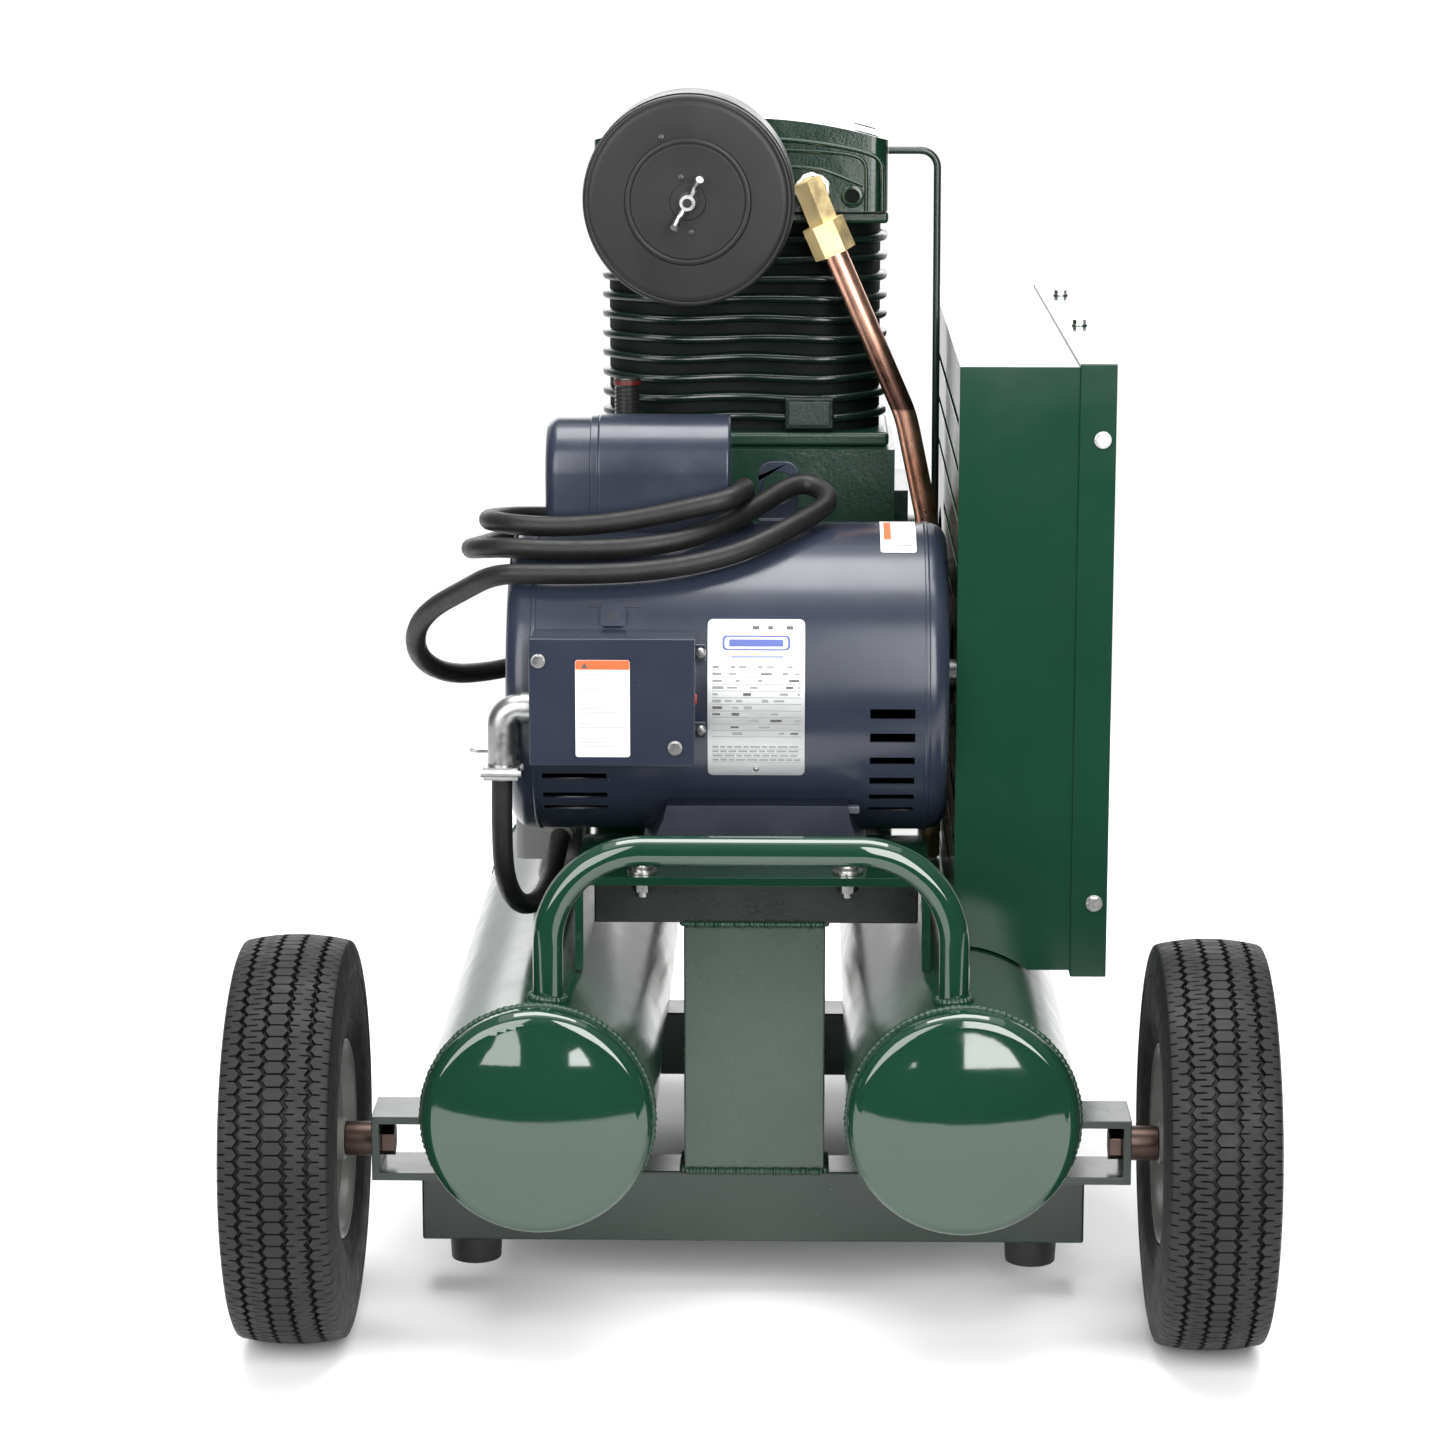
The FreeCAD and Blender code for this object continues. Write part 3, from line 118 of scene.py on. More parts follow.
def ramp(nt, fac, stops):
    r = nt.nodes.new("ShaderNodeValToRGB")
    els = r.color_ramp.elements
    while len(els) < len(stops):
        els.new(0.5)
    for e, (p, c) in zip(els, stops):
        e.position = p
        e.color = (c[0], c[1], c[2], 1.0) if not isinstance(c, (int, float)) else (c, c, c, 1.0)
    nt.links.new(fac, r.inputs["Fac"])
    return r.outputs["Color"]


def mul(c, k):
    return tuple(min(1.0, x * k) for x in c)


def bump(nt, b, height, strength, distance=0.001, prev=None):
    n = nt.nodes.new("ShaderNodeBump")
    n.inputs["Strength"].default_value = strength
    n.inputs["Distance"].default_value = distance
    nt.links.new(height, n.inputs["Height"])
    if prev is not None:
        nt.links.new(prev, n.inputs["Normal"])
    nt.links.new(n.outputs[0], b.inputs["Normal"])
    return n.outputs[0]


def paint(name, col, rough=0.16, vary=0.18, orange_peel=0.05, dust=0.0, cast=0.0, spec=0.5, coat=0.0):
    mat = bpy.data.materials.new(name)
    nt, b = nodes_of(mat)
    v = coords(nt)
    n1 = noise(nt, v, 9.0, 5.0, 0.6)
    cr = ramp(nt, n1, [(0.25, mul(col, 1 - vary)), (0.75, mul(col, 1 + vary))])
    if dust > 0:
        n3 = noise(nt, v, 55.0, 8.0, 0.7)
        dr = ramp(nt, n3, [(0.56, 0.0), (0.80, dust)])
        mx = nt.nodes.new("ShaderNodeMix")
        mx.data_type = "RGBA"
        nt.links.new(dr, mx.inputs["Factor"])
        nt.links.new(cr, mx.inputs["A"])
        mx.inputs["B"].default_value = (0.22, 0.21, 0.19, 1)
        cr = mx.outputs["Result"]
    nt.links.new(cr, b.inputs["Base Color"])
    n2 = noise(nt, v, 30.0, 4.0, 0.6)
    rr = ramp(nt, n2, [(0.3, rough * 0.85), (0.75, rough * 1.25 + 0.015)])
    nt.links.new(rr, b.inputs["Roughness"])
    prev = None
    if cast > 0:
        prev = bump(nt, b, noise(nt, v, 420.0, 6.0, 0.65), cast, 0.0012)
        prev = bump(nt, b, noise(nt, v, 95.0, 3.0, 0.5), cast * 0.6, 0.0018, prev)
    if orange_peel > 0:
        bump(nt, b, noise(nt, v, 260.0, 2.0, 0.5), orange_peel, 0.0004, prev)
    b.inputs["Specular IOR Level"].default_value = spec
    if coat:
        b.inputs["Coat Weight"].default_value = coat
        b.inputs["Coat Roughness"].default_value = 0.05
    return mat


def metal(name, col, rough=0.3, vary=0.12, brushed=None, tarnish=None, rough_bump=0.05):
    mat = bpy.data.materials.new(name)
    nt, b = nodes_of(mat)
    v = coords(nt)
    n1 = noise(nt, v, 40.0, 6.0, 0.65)
    stops = [(0.25, mul(col, 1 - vary)), (0.72, mul(col, 1 + vary * 0.6))]
    c = ramp(nt, n1, stops)
    if tarnish:
        n4 = noise(nt, v, 14.0, 5.0, 0.6)
        tr = ramp(nt, n4, [(0.45, 0.0), (0.72, 1.0)])
        mx = nt.nodes.new("ShaderNodeMix")
        mx.data_type = "RGBA"
        nt.links.new(tr, mx.inputs["Factor"])
        nt.links.new(c, mx.inputs["A"])
        mx.inputs["B"].default_value = (*tarnish, 1)
        c = mx.outputs["Result"]
    nt.links.new(c, b.inputs["Base Color"])
    b.inputs["Metallic"].default_value = 1.0
    vs = coords(nt, brushed) if brushed else v
    n2 = noise(nt, vs, 90.0, 4.0, 0.6)
    nt.links.new(ramp(nt, n2, [(0.3, rough * 0.75), (0.75, rough * 1.3)]), b.inputs["Roughness"])
    bump(nt, b, n2, rough_bump, 0.0004)
    return mat


def plastic(name, col, rough=0.4, vary=0.15, grain=0.08, spec=0.5, scale=600.0):
    mat = bpy.data.materials.new(name)
    nt, b = nodes_of(mat)
    v = coords(nt)
    nt.links.new(ramp(nt, noise(nt, v, 22.0, 5.0), [(0.3, mul(col, 1 - vary)), (0.72, mul(col, 1 + vary))]), b.inputs["Base Color"])
    nt.links.new(ramp(nt, noise(nt, v, 70.0, 3.0), [(0.3, rough * 0.85), (0.75, rough * 1.2)]), b.inputs["Roughness"])
    bump(nt, b, noise(nt, v, scale, 3.0, 0.6), grain, 0.0004)
    b.inputs["Specular IOR Level"].default_value = spec
    return mat


M = {}
M["green"] = paint("green_enamel", (0.0066, 0.034, 0.0190), rough=0.055, vary=0.08, orange_peel=0.02, spec=0.85)
M["green_sheet"] = paint("green_enamel_sheet", (0.0072, 0.036, 0.0205), rough=0.12, vary=0.08, orange_peel=0.03, spec=0.30)
# the shells take a slightly darker copy of the tank-head green: painted shade on their sides
M["green_shell"] = paint("green_enamel_shell", (0.0060, 0.030, 0.0170), rough=0.17, vary=0.10, orange_peel=0.03, spec=0.45)
M["green_frame"] = paint("green_enamel_frame", (0.0125, 0.023, 0.0165), rough=0.22, vary=0.14, orange_peel=0.08)
# a much darker copy of the frame green for the beam under the deck: painted shade under the deck overhang
M["green_shaded"] = paint("green_enamel_painted_shade", (0.0075, 0.0115, 0.009), rough=0.27, vary=0.30, orange_peel=0.10, dust=0.0, cast=0.16)
M["cast"] = paint("green_enamel_cast", (0.0070, 0.030, 0.0175), rough=0.20, vary=0.22, orange_peel=0.08, cast=0.22)
M["cast_head"] = paint("green_enamel_head", (0.0046, 0.0230, 0.0125), rough=0.13, vary=0.15, orange_peel=0.05, cast=0.07)
M["navy"] = paint("navy_enamel", (0.0195, 0.0245, 0.040), rough=0.22, vary=0.07, orange_peel=0.06)
# a darker copy of the motor navy: painted shade, for the saddle under the barrel, a slot and a hole
M["navy_dark"] = paint("navy_enamel_painted_shade", (0.0125, 0.0155, 0.0250), rough=0.30, vary=0.12, orange_peel=0.08)
M["charcoal"] = paint("charcoal_enamel", (0.0135, 0.0135, 0.0132), rough=0.36, vary=0.10, orange_peel=0.08, spec=0.24)
M["rim"] = paint("grey_wheel_enamel", (0.105, 0.106, 0.100), rough=0.33, vary=0.10, orange_peel=0.06)
M["tyre"] = plastic("tyre_rubber", (0.0085, 0.0082, 0.0078), rough=0.58, vary=0.16, grain=0.22, spec=0.30, scale=500.0)
M["rubber"] = plastic("black_rubber", (0.0045, 0.0045, 0.0043), rough=0.55, vary=0.2, grain=0.18)
M["belt"] = plastic("belt_rubber", (0.020, 0.020, 0.020), rough=0.7, vary=0.2, grain=0.3, scale=900.0)
M["black"] = plastic("black_plastic", (0.013, 0.013, 0.014), rough=0.34, grain=0.10)
M["grey"] = plastic("grey_switch_cover", (0.150, 0.153, 0.148), rough=0.42, vary=0.06, grain=0.10)
M["red"] = plastic("red_plastic", (0.36, 0.018, 0.014), rough=0.28, grain=0.04)
M["zinc"] = metal("zinc_plate", (0.52, 0.52, 0.51), rough=0.30, vary=0.14)
M["steel"] = metal("plain_steel", (0.33, 0.33, 0.33), rough=0.34, vary=0.2)
M["iron"] = metal("machined_iron", (0.17, 0.165, 0.16), rough=0.42, vary=0.2)
M["brass"] = metal("machined_brass", (0.98, 0.76, 0.40), rough=0.50, vary=0.10)
M["copper"] = metal("drawn_copper", (0.93, 0.52, 0.38), rough=0.33, vary=0.08, tarnish=(0.66, 0.31, 0.20))
M["ink_blue"] = plastic("printed_pale_blue", (0.22, 0.25, 0.52), rough=0.4, vary=0.03, grain=0.01)
M["ink_pale"] = plastic("printed_pale_grey", (0.40, 0.40, 0.40), rough=0.4, vary=0.03, grain=0.01)
# a lighter copy of the motor navy for the foot clamps: painted highlight
M["navy_light"] = paint("navy_enamel_painted_highlight", (0.075, 0.082, 0.100), rough=0.30, vary=0.15, orange_peel=0.08)
M["cast_plain"] = paint("green_enamel_panel", (0.016, 0.026, 0.021), rough=0.30, vary=0.2, orange_peel=0.10, cast=0.2)
M["charcoal_dark"] = paint("charcoal_enamel_dark", (0.014, 0.014, 0.014), rough=0.40, vary=0.1, orange_peel=0.08)
M["dark_red"] = plastic("dark_red_ring", (0.10, 0.012, 0.010), rough=0.34, grain=0.05)
# a darker copy of the casting green for the fins and the pad among them: painted shade of the close-set fins
M["fin"] = paint("green_enamel_fins_painted_shade", (0.0040, 0.0105, 0.0072), rough=0.20, vary=0.25, orange_peel=0.10, cast=0.12, spec=0.5)
# a near-black copy of the casting green: painted shade for the barrels between the fins and inside the port
M["fin_core"] = paint("green_enamel_core_painted_shade", (0.0024, 0.0046, 0.0035), rough=0.60, vary=0.25, orange_peel=0.10, spec=0.12)
# a lighter copy of the frame green for the front post: painted sheen
M["post"] = paint("green_enamel_post_painted_sheen", (0.036, 0.056, 0.044), rough=0.26, vary=0.10, orange_peel=0.08)
M["dark_steel"] = metal("dark_bolt_steel", (0.11, 0.075, 0.065), rough=0.34, vary=0.2)


def dark_height_band(mat, z_sharp, z_full, z_clean, dark):
    """Darkens a metal between two heights: sharp below, fading out above (heights in metres)."""
    nt = mat.node_tree
    b = next(n for n in nt.nodes if n.type == "BSDF_PRINCIPLED")
    src = b.inputs["Base Color"].links[0].from_socket
    tc = nt.nodes.new("ShaderNodeTexCoord")
    sp_ = nt.nodes.new("ShaderNodeSeparateXYZ")
    nt.links.new(tc.outputs["Object"], sp_.inputs[0])
    mr_ = nt.nodes.new("ShaderNodeMapRange")
    mr_.inputs["From Min"].default_value, mr_.inputs["From Max"].default_value = z_sharp - 0.02, z_clean
    nt.links.new(sp_.outputs["Z"], mr_.inputs["Value"])
    span = z_clean - z_sharp + 0.02
    f = lambda z: (z - z_sharp + 0.02) / span
    fac = ramp(nt, mr_.outputs[0], [(0.0, 0.0), (f(z_sharp - 0.001), 0.0), (f(z_sharp + 0.001), 0.96), (f(z_full), 0.88), (1.0, 0.0)])
    mx = nt.nodes.new("ShaderNodeMix")
    mx.data_type = "RGBA"
    nt.links.new(fac, mx.inputs["Factor"])
    nt.links.new(src, mx.inputs["A"])
    mx.inputs["B"].default_value = (*dark, 1)
    nt.links.new(mx.outputs["Result"], b.inputs["Base Color"])


# darkens the copper tube in a band of heights, sharp at its lower edge and fading out upwards
dark_height_band(M["copper"], 0.5535, 0.580, 0.648, (0.115, 0.058, 0.045))
M["diecast"] = metal("die_cast_alloy", (0.40, 0.405, 0.40), rough=0.36, vary=0.12, rough_bump=0.12)
M["plate"] = metal("nameplate_alloy", (0.56, 0.57, 0.572), rough=0.46, vary=0.05, brushed=(1, 30, 30))
M["laminate"] = metal("stator_laminations", (0.16, 0.16, 0.16), rough=0.5, vary=0.2, brushed=(60, 1, 1), rough_bump=0.3)
M["white"] = plastic("printed_white", (0.80, 0.80, 0.79), rough=0.38, vary=0.015, grain=0.01)
M["orange"] = plastic("printed_orange", (0.72, 0.115, 0.035), rough=0.38, vary=0.03, grain=0.01)
M["ink"] = plastic("printed_grey", (0.075, 0.075, 0.078), rough=0.4, vary=0.04, grain=0.01)
M["ink_light"] = plastic("printed_light_grey", (0.23, 0.235, 0.24), rough=0.4, vary=0.04, grain=0.01)
M["blue"] = plastic("printed_blue", (0.055, 0.085, 0.30), rough=0.4, vary=0.03, grain=0.01)
M["thread_tape"] = plastic("sealing_tape", (0.75, 0.75, 0.72), rough=0.55, vary=0.06, grain=0.25)
M["weld"] = paint("painted_weld", (0.0090, 0.036, 0.021), rough=0.26, vary=0.2, orange_peel=0.10, cast=0.16)


def cord_material():
    mat = bpy.data.materials.new("cord_jacket")
    nt, b = nodes_of(mat)
    v = coords(nt)
    nt.links.new(ramp(nt, noise(nt, v, 45.0, 6.0, 0.65), [(0.3, (0.0058, 0.0057, 0.0055)), (0.75, (0.0105, 0.0102, 0.0099))]), b.inputs["Base Color"])
    nt.links.new(ramp(nt, noise(nt, v, 160.0, 3.0), [(0.3, 0.40), (0.75, 0.56)]), b.inputs["Roughness"])
    bump(nt, b, noise(nt, v, 380.0, 5.0, 0.7), 0.22, 0.0007)
    b.inputs["Specular IOR Level"].default_value = 0.30
    return mat


M["cord"] = cord_material()

# ------------------------------------------------------------------ mesh helpers


def link(ob, body=FRAME_BODY, mat=None):
    if ob.name not in scene.collection.objects:
        scene.collection.objects.link(ob)
    if mat is not None:
        ob.data.materials.clear()
        for mm in (mat if isinstance(mat, (list, tuple)) else [mat]):
            ob.data.materials.append(mm)
    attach(ob, body)
    return ob


def mesh_ob(name, verts, faces, smooth_angle=35.0):
    me = bpy.data.meshes.new(name)
    me.from_pydata([tuple(v) for v in verts], [], faces)
    me.validate()
    me.update()
    ob = bpy.data.objects.new(name, me)
    finish_mesh(ob, smooth_angle)
    return ob


def finish_mesh(ob, angle=35.0):
    bm = bmesh.new()
    bm.from_mesh(ob.data)
    bmesh.ops.recalc_face_normals(bm, faces=bm.faces)
    bm.to_mesh(ob.data)
    bm.free()
    ob.data.polygons.foreach_set("use_smooth", [True] * len(ob.data.polygons))
    ob.data.set_sharp_from_angle(angle=math.radians(angle))
    ob.data.update()


def bevelled(ob, width, segs=2, angle=32.0):
    mod = ob.modifiers.new("edge", "BEVEL")
    mod.width, mod.segments, mod.limit_method, mod.angle_limit = width, segs, "ANGLE", math.radians(angle)
    mod.harden_normals = True
    mod.use_clamp_overlap = True
    return ob


def frame_axes(axis):
    a = Vector(axis).normalized()
    t = Vector((0, 0, 1)) if abs(a.z) < 0.9 else Vector((1, 0, 0))
    e1 = a.cross(t).normalized()
    return a, e1, a.cross(e1).normalized()


def lathe(name, profile, centre, axis, steps=96, angle=35.0, wobble=None):
    """Closed solid turned from (along, radius) pairs in mm about an axis through centre (design mm)."""
    a, e1, e2 = frame_axes(axis)
    c = P(*centre)
    verts, faces, rings = [], [], []
    for k, (h, r) in enumerate(profile):
        if r < 1e-6:
            verts.append(c + a * (h / 1000))
            rings.append([len(verts) - 1])
        else:
            ring = []
            for i in range(steps):
                t = 2 * math.pi * i / steps
                rr = r + (wobble(k, t) if wobble else 0.0)
                verts.append(c + a * (h / 1000) + (e1 * math.cos(t) + e2 * math.sin(t)) * (rr / 1000))
                ring.append(len(verts) - 1)
            rings.append(ring)
    loops = list(zip(rings, rings[1:]))
    if len(rings[0]) > 1 and len(rings[-1]) > 1:
        loops.append((rings[-1], rings[0]))
    for r0, r1 in loops:
        if len(r0) == 1 and len(r1) == 1:
            continue
        for i in range(steps):
            j = (i + 1) % steps
            if len(r0) == 1:
                faces.append((r0[0], r1[j], r1[i]))
            elif len(r1) == 1:
                faces.append((r0[i], r0[j], r1[0]))
            else:
                faces.append((r0[i], r0[j], r1[j], r1[i]))
    return mesh_ob(name, verts, faces, angle)


def arc_pts(cx, cy, r, a0, a1, n=6):
    return [(cx + r * math.cos(math.radians(a0 + (a1 - a0) * i / n)), cy + r * math.sin(math.radians(a0 + (a1 - a0) * i / n))) for i in range(n + 1)]


def block(name, x0, x1, y0, y1, z0, z1, bevel=1.0, segs=3):
    a, b = P(x0, y0, z0), P(x1, y1, z1)
    v = [(x, y, z) for x in (a.x, b.x) for y in (a.y, b.y) for z in (a.z, b.z)]
    f = [(0, 1, 3, 2), (4, 6, 7, 5), (0, 4, 5, 1), (2, 3, 7, 6), (0, 2, 6, 4), (1, 5, 7, 3)]
    ob = mesh_ob(name, v, f)
    if bevel:
        bevelled(ob, bevel / 1000, segs)
    return ob


def prism(name, pts, h, centre, axis, bevel=0.4, segs=2):
    """Solid with the outline pts (mm, in the plane across axis), h mm long."""
    a, e1, e2 = frame_axes(axis)
    c = P(*centre)
    n = len(pts)
    v = [c + (e1 * x + e2 * y) / 1000 for x, y in pts] + [c + (e1 * x + e2 * y) / 1000 + a * (h / 1000) for x, y in pts]
    f = [tuple(range(n)), tuple(range(2 * n - 1, n - 1, -1))] + [(i, (i + 1) % n, n + (i + 1) % n, n + i) for i in range(n)]
    ob = mesh_ob(name, v, f)
    if bevel:
        bevelled(ob, bevel / 1000, segs)
    return ob


def tube(name, pts, radius, res=10, order=3, cyclic=False, radii=None, body=FRAME_BODY, mat=None, kind="NURBS"):
    cu = bpy.data.curves.new(name, "CURVE")
    cu.dimensions = "3D"
    cu.bevel_depth = 1.0               # the points carry the radius, so that the bounds are true
    cu.bevel_resolution = 5
    cu.resolution_u = res
    cu.use_fill_caps = True
    sp = cu.splines.new(kind)
    sp.points.add(len(pts) - 1)
    for i, p in enumerate(pts):
        sp.points[i].co = (*P(*p), 1.0)
        sp.points[i].radius = radius / 1000 * (radii[i] if radii else 1.0)
    if kind == "NURBS":
        sp.order_u = order
        sp.use_endpoint_u = not cyclic
    sp.use_cyclic_u = cyclic
    ob = bpy.data.objects.new(name, cu)
    scene.collection.objects.link(ob)
    if mat:
        cu.materials.append(mat)
    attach(ob, body)
    return ob


def bead(name, pts, radius=2.2, closed=False, step=1.6, mat=None, body=FRAME_BODY, squash=0.75):
    """A weld bead: a rippled rope along a polyline of points (design mm)."""
    line = [Vector(p) for p in pts]
    if closed:
        line.append(line[0])
    dense = []
    for p, q in zip(line, line[1:]):
        n = max(1, int((q - p).length / (step / 3)))
        dense += [p + (q - p) * (i / n) for i in range(n)]
    if not closed:
        dense.append(line[-1])
    verts, faces, sides = [], [], 8
    n = len(dense)
    ph = rng.random() * 6
    for i, p in enumerate(dense):
        t = (dense[(i + 1) % n] - dense[i - 1]) if closed else (dense[min(i + 1, n - 1)] - dense[max(i - 1, 0)])
        a, e1, e2 = frame_axes(t)
        wob = 1.0 + 0.17 * math.sin(i * 2 * math.pi / 4.5 + ph) + 0.09 * math.sin(i * 0.37 + ph) + rng.uniform(-0.05, 0.05)
        if not closed and (i < 2 or i > n - 3):
            wob *= 0.6
        for k in range(sides):
            an = 2 * math.pi * k / sides
            q = p + (e1 * math.cos(an) + e2 * math.sin(an)) * radius * wob
            verts.append(P(*q))
    for i in range(n if closed else n - 1):
        j = (i + 1) % n
        for k in range(sides):
            l = (k + 1) % sides
            faces.append((i * sides + k, i * sides + l, j * sides + l, j * sides + k))
    if not closed:
        faces.append(tuple(range(sides)))
        faces.append(tuple(reversed(range((n - 1) * sides, n * sides))))
    ob = mesh_ob(name, verts, faces, 70)
    return link(ob, body, mat or M["weld"])


def recast(node, mat, bevel=0.6, segs=2, angle=32.0, body=None, name=None, smooth=32.0, dissolve=True):
    """A cleaned, edge-rounded skin for a CAD node, which it stands for."""
    src = nodes[node]
    me = src.data.copy()
    me.name = name or node + "_skin"
    ob = bpy.data.objects.new(me.name, me)
    bm = bmesh.new()
    bm.from_mesh(me)
    bmesh.ops.remove_doubles(bm, verts=bm.verts, dist=2e-6)
    if dissolve:
        bmesh.ops.dissolve_limit(bm, angle_limit=math.radians(0.6), verts=bm.verts, edges=bm.edges)
    bmesh.ops.recalc_face_normals(bm, faces=bm.faces)
    bm.to_mesh(me)
    bm.free()
    if hasattr(me, "has_custom_normals") and me.has_custom_normals:
        bpy.context.view_layer.update()
    for att in ("custom_normal",):
        if att in me.attributes:
            me.attributes.remove(me.attributes[att])
    me.polygons.foreach_set("use_smooth", [True] * len(me.polygons))
    me.set_sharp_from_angle(angle=math.radians(smooth))
    if bevel:
        bevelled(ob, bevel / 1000, segs, angle)
    link(ob, body or src["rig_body"], mat)
    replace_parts(ob, node)
    return ob


def dress(node, *mats):
    ob = nodes[node]
    ob.data.materials.clear()
    for mm in mats:
        ob.data.materials.append(mm)


# ------------------------------------------------------------------ cords, first
CORD_R = 6.75
route = [
    (-134.0, 315.0, 346.6), (-134.0, 315.0, 363.0), (-144.0, 311.0, 377.0), (-164.0, 302.0, 380.0), (-187.0, 280.0, 379.0),
    (-208.0, 250.0, 383.0), (-223.0, 220.0, 395.0), (-229.0, 196.0, 412.0), (-225.0, 175.0, 431.0), (-212.0, 155.0, 447.0),
    (-192.0, 132.0, 461.0), (-168.0, 101.5, 478.0), (-140.0, 95.5, 479.0), (-105.0, 96.0, 479.0), (-70.0, 98.0, 480.5),
    (-38.0, 103.5, 484.5), (-9.0, 112.5, 491.0), (12.0, 126.0, 499.0), (28.0, 142.0, 505.5), (40.0, 158.0, 509.5),
    (48.0, 172.0, 514.0), (46.0, 187.0, 519.5), (34.0, 196.0, 524.0), (21.0, 188.0, 522.5), (6.0, 168.5, 515.5),
    (-13.0, 144.0, 507.5), (-40.0, 125.0, 498.0), (-72.0, 116.0, 493.5), (-105.0, 114.0, 492.0), (-137.0, 114.5, 492.0),
    (-162.0, 119.0, 492.5), (-180.0, 135.0, 489.5), (-188.0, 160.0, 485.0), (-187.0, 190.0, 481.0), (-178.0, 220.0, 479.5),
    (-162.0, 243.0, 481.0), (-140.0, 254.5, 478.0), (-114.0, 258.5, 474.0), (-88.0, 259.0, 472.0), (-60.0, 257.0, 474.5),
    (-34.0, 249.0, 482.0), (-12.5, 237.0, 491.5), (-7.0, 214.0, 506.5), (-7.5, 190.0, 518.0), (-7.5, 168.0, 525.5), (-7.0, 148.0, 527.0),
    (-16.0, 131.5, 522.5), (-40.0, 128.0, 517.5), (-72.0, 127.0, 510.5), (-104.0, 127.0, 506.0), (-134.0, 128.5, 504.5),
    (-156.0, 134.0, 505.0), (-171.0, 148.0, 505.0), (-177.0, 170.0, 503.0), (-174.0, 195.0, 500.0), (-163.0, 218.0, 497.5),
    (-144.0, 235.5, 495.0), (-117.0, 241.0, 493.0), (-85.0, 242.0, 492.5), (-57.0, 249.0, 494.0), (-40.0, 265.0, 489.0),
    (-33.0, 284.0, 470.0), (-31.0, 300.0, 436.0), (-30.0, 309.0, 400.0), (-24.0, 313.0, 364.0), (-8.0, 314.0, 332.0),
    (18.0, 314.0, 312.5), (42.0, 314.0, 312.0),
]
supply = tube("supply_cord_flex", route, CORD_R, res=10, mat=M["cord"])
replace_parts(supply, "supply_cord")


def spline_points(ob):
    """Points along a curve object's own smooth line, in the row frame."""
    depth, ob.data.bevel_depth = ob.data.bevel_depth, 0.0
    bpy.context.view_layer.update()
    me = bpy.data.meshes.new_from_object(ob.evaluated_get(bpy.context.evaluated_depsgraph_get()))
    pts = [ob.matrix_world @ v.co for v in me.vertices]
    bpy.data.meshes.remove(me)
    ob.data.bevel_depth = depth
    return pts


def sleeve(name, pts, length, r0, r1, mat, body=FRAME_BODY, rings=0, sides=40, start=0.0):
    """A tapered flexible sleeve that follows the first part of a line of points (m). Radii in mm."""
    acc, line = 0.0, [(0.0, pts[0])]
    for p, q in zip(pts, pts[1:]):
        acc += (q - p).length
        line.append((acc, q))
        if acc > length / 1000 * 1.3:
            break

    def at(s):
        for (s0, p), (s1, q) in zip(line, line[1:]):
            if s <= s1:
                return p + (q - p) * ((s - s0) / max(1e-9, s1 - s0))
        return line[-1][1]
    n = 60
    verts, faces = [], []
    inner = 6.2
    prof = []
    for i in range(n + 1):
        s = i / n
        r = r0 + (r1 - r0) * s
        if rings:
            r -= 0.75 * (0.5 + 0.5 * math.cos(2 * math.pi * s * rings)) * (0.15 < s < 0.93)
        prof.append((s, r))
    prof = [(0.0, inner)] + prof + [(1.0, inner)]
    ref = None
    for k, (s, r) in enumerate(prof):
        c = at(s * length / 1000)
        t = (at(min(1.0, s + 0.03) * length / 1000) - at(max(0.0, s - 0.03) * length / 1000)).normalized()
        if ref is None:
            ref = frame_axes(t)[1]
        e1 = (ref - t * ref.dot(t)).normalized()
        e2 = t.cross(e1)
        ref = e1
        for i in range(sides):
            an = 2 * math.pi * i / sides
            verts.append(c + (e1 * math.cos(an) + e2 * math.sin(an)) * (r / 1000))
    m_ = len(prof)
    for k in range(m_):
        l = (k + 1) % m_
        for i in range(sides):
            j = (i + 1) % sides
            faces.append((k * sides + i, k * sides + j, l * sides + j, l * sides + i))
    return link(mesh_ob(name, verts, faces, 50), body, mat)


supply_line = spline_points(supply)
relief = sleeve("switch_strain_relief", supply_line, 30, 9.6, 7.6, M["rubber"], rings=5)

# moulded plug on the deck
pz, py = 312.0, 314.0
grip_prof = [(0.0, 0.0), (0.0, 8.9), (1.5, 9.6)]
for i in range(5):
    h = 3.0 + i * 2.9
    grip_prof += [(h, 9.9 + i * 0.62), (h + 0.8, 9.0 + i * 0.62), (h + 1.6, 9.0 + i * 0.62), (h + 2.3, 10.3 + i * 0.62)]
grip_prof += [(18.5, 13.4), (22, 15.8), (26, 18.6), (29, 19.4), (41.5, 19.4), (44, 18.6), (45.6, 17.2), (46.0, 15.8), (46.0, 0.0)]
plug_grip = link(lathe("plug_grip", grip_prof, (42.1, py, pz), (1, 0, 0), 64), FRAME_BODY, M["rubber"])
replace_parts(plug_grip, "supply_plug")
blades = [link(block("plug_blade_%d" % k, 87.5, 105, py - 3.1, py + 3.1, pz + dz, pz + dz + 1.5, 0.35, 2), FRAME_BODY, M["zinc"])
          for k, dz in enumerate((5.7, -7.1))]
blades.append(link(lathe("plug_earth_pin", [(0, 0), (0, 2.35), (16, 2.35), (18, 1.7), (18.8, 0.0)], (87.5, py + 10.5, pz), (1, 0, 0), 32), FRAME_BODY, M["zinc"]))

lead_route = [(-161.0, 62.5, 351.8), (-162.0, 65.0, 312.0), (-161.0, 82.0, 277.0), (-154.5, 118.0, 253.5), (-146.0, 162.0, 244.5),
              (-140.0, 206.0, 247.0), (-137.0, 243.0, 260.5), (-137.0, 269.4, 264.0)]
lead = tube("motor_lead_flex", lead_route, CORD_R, res=12, mat=M["cord"])
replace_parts(lead, "motor_lead")

# ------------------------------------------------------------------ wheels


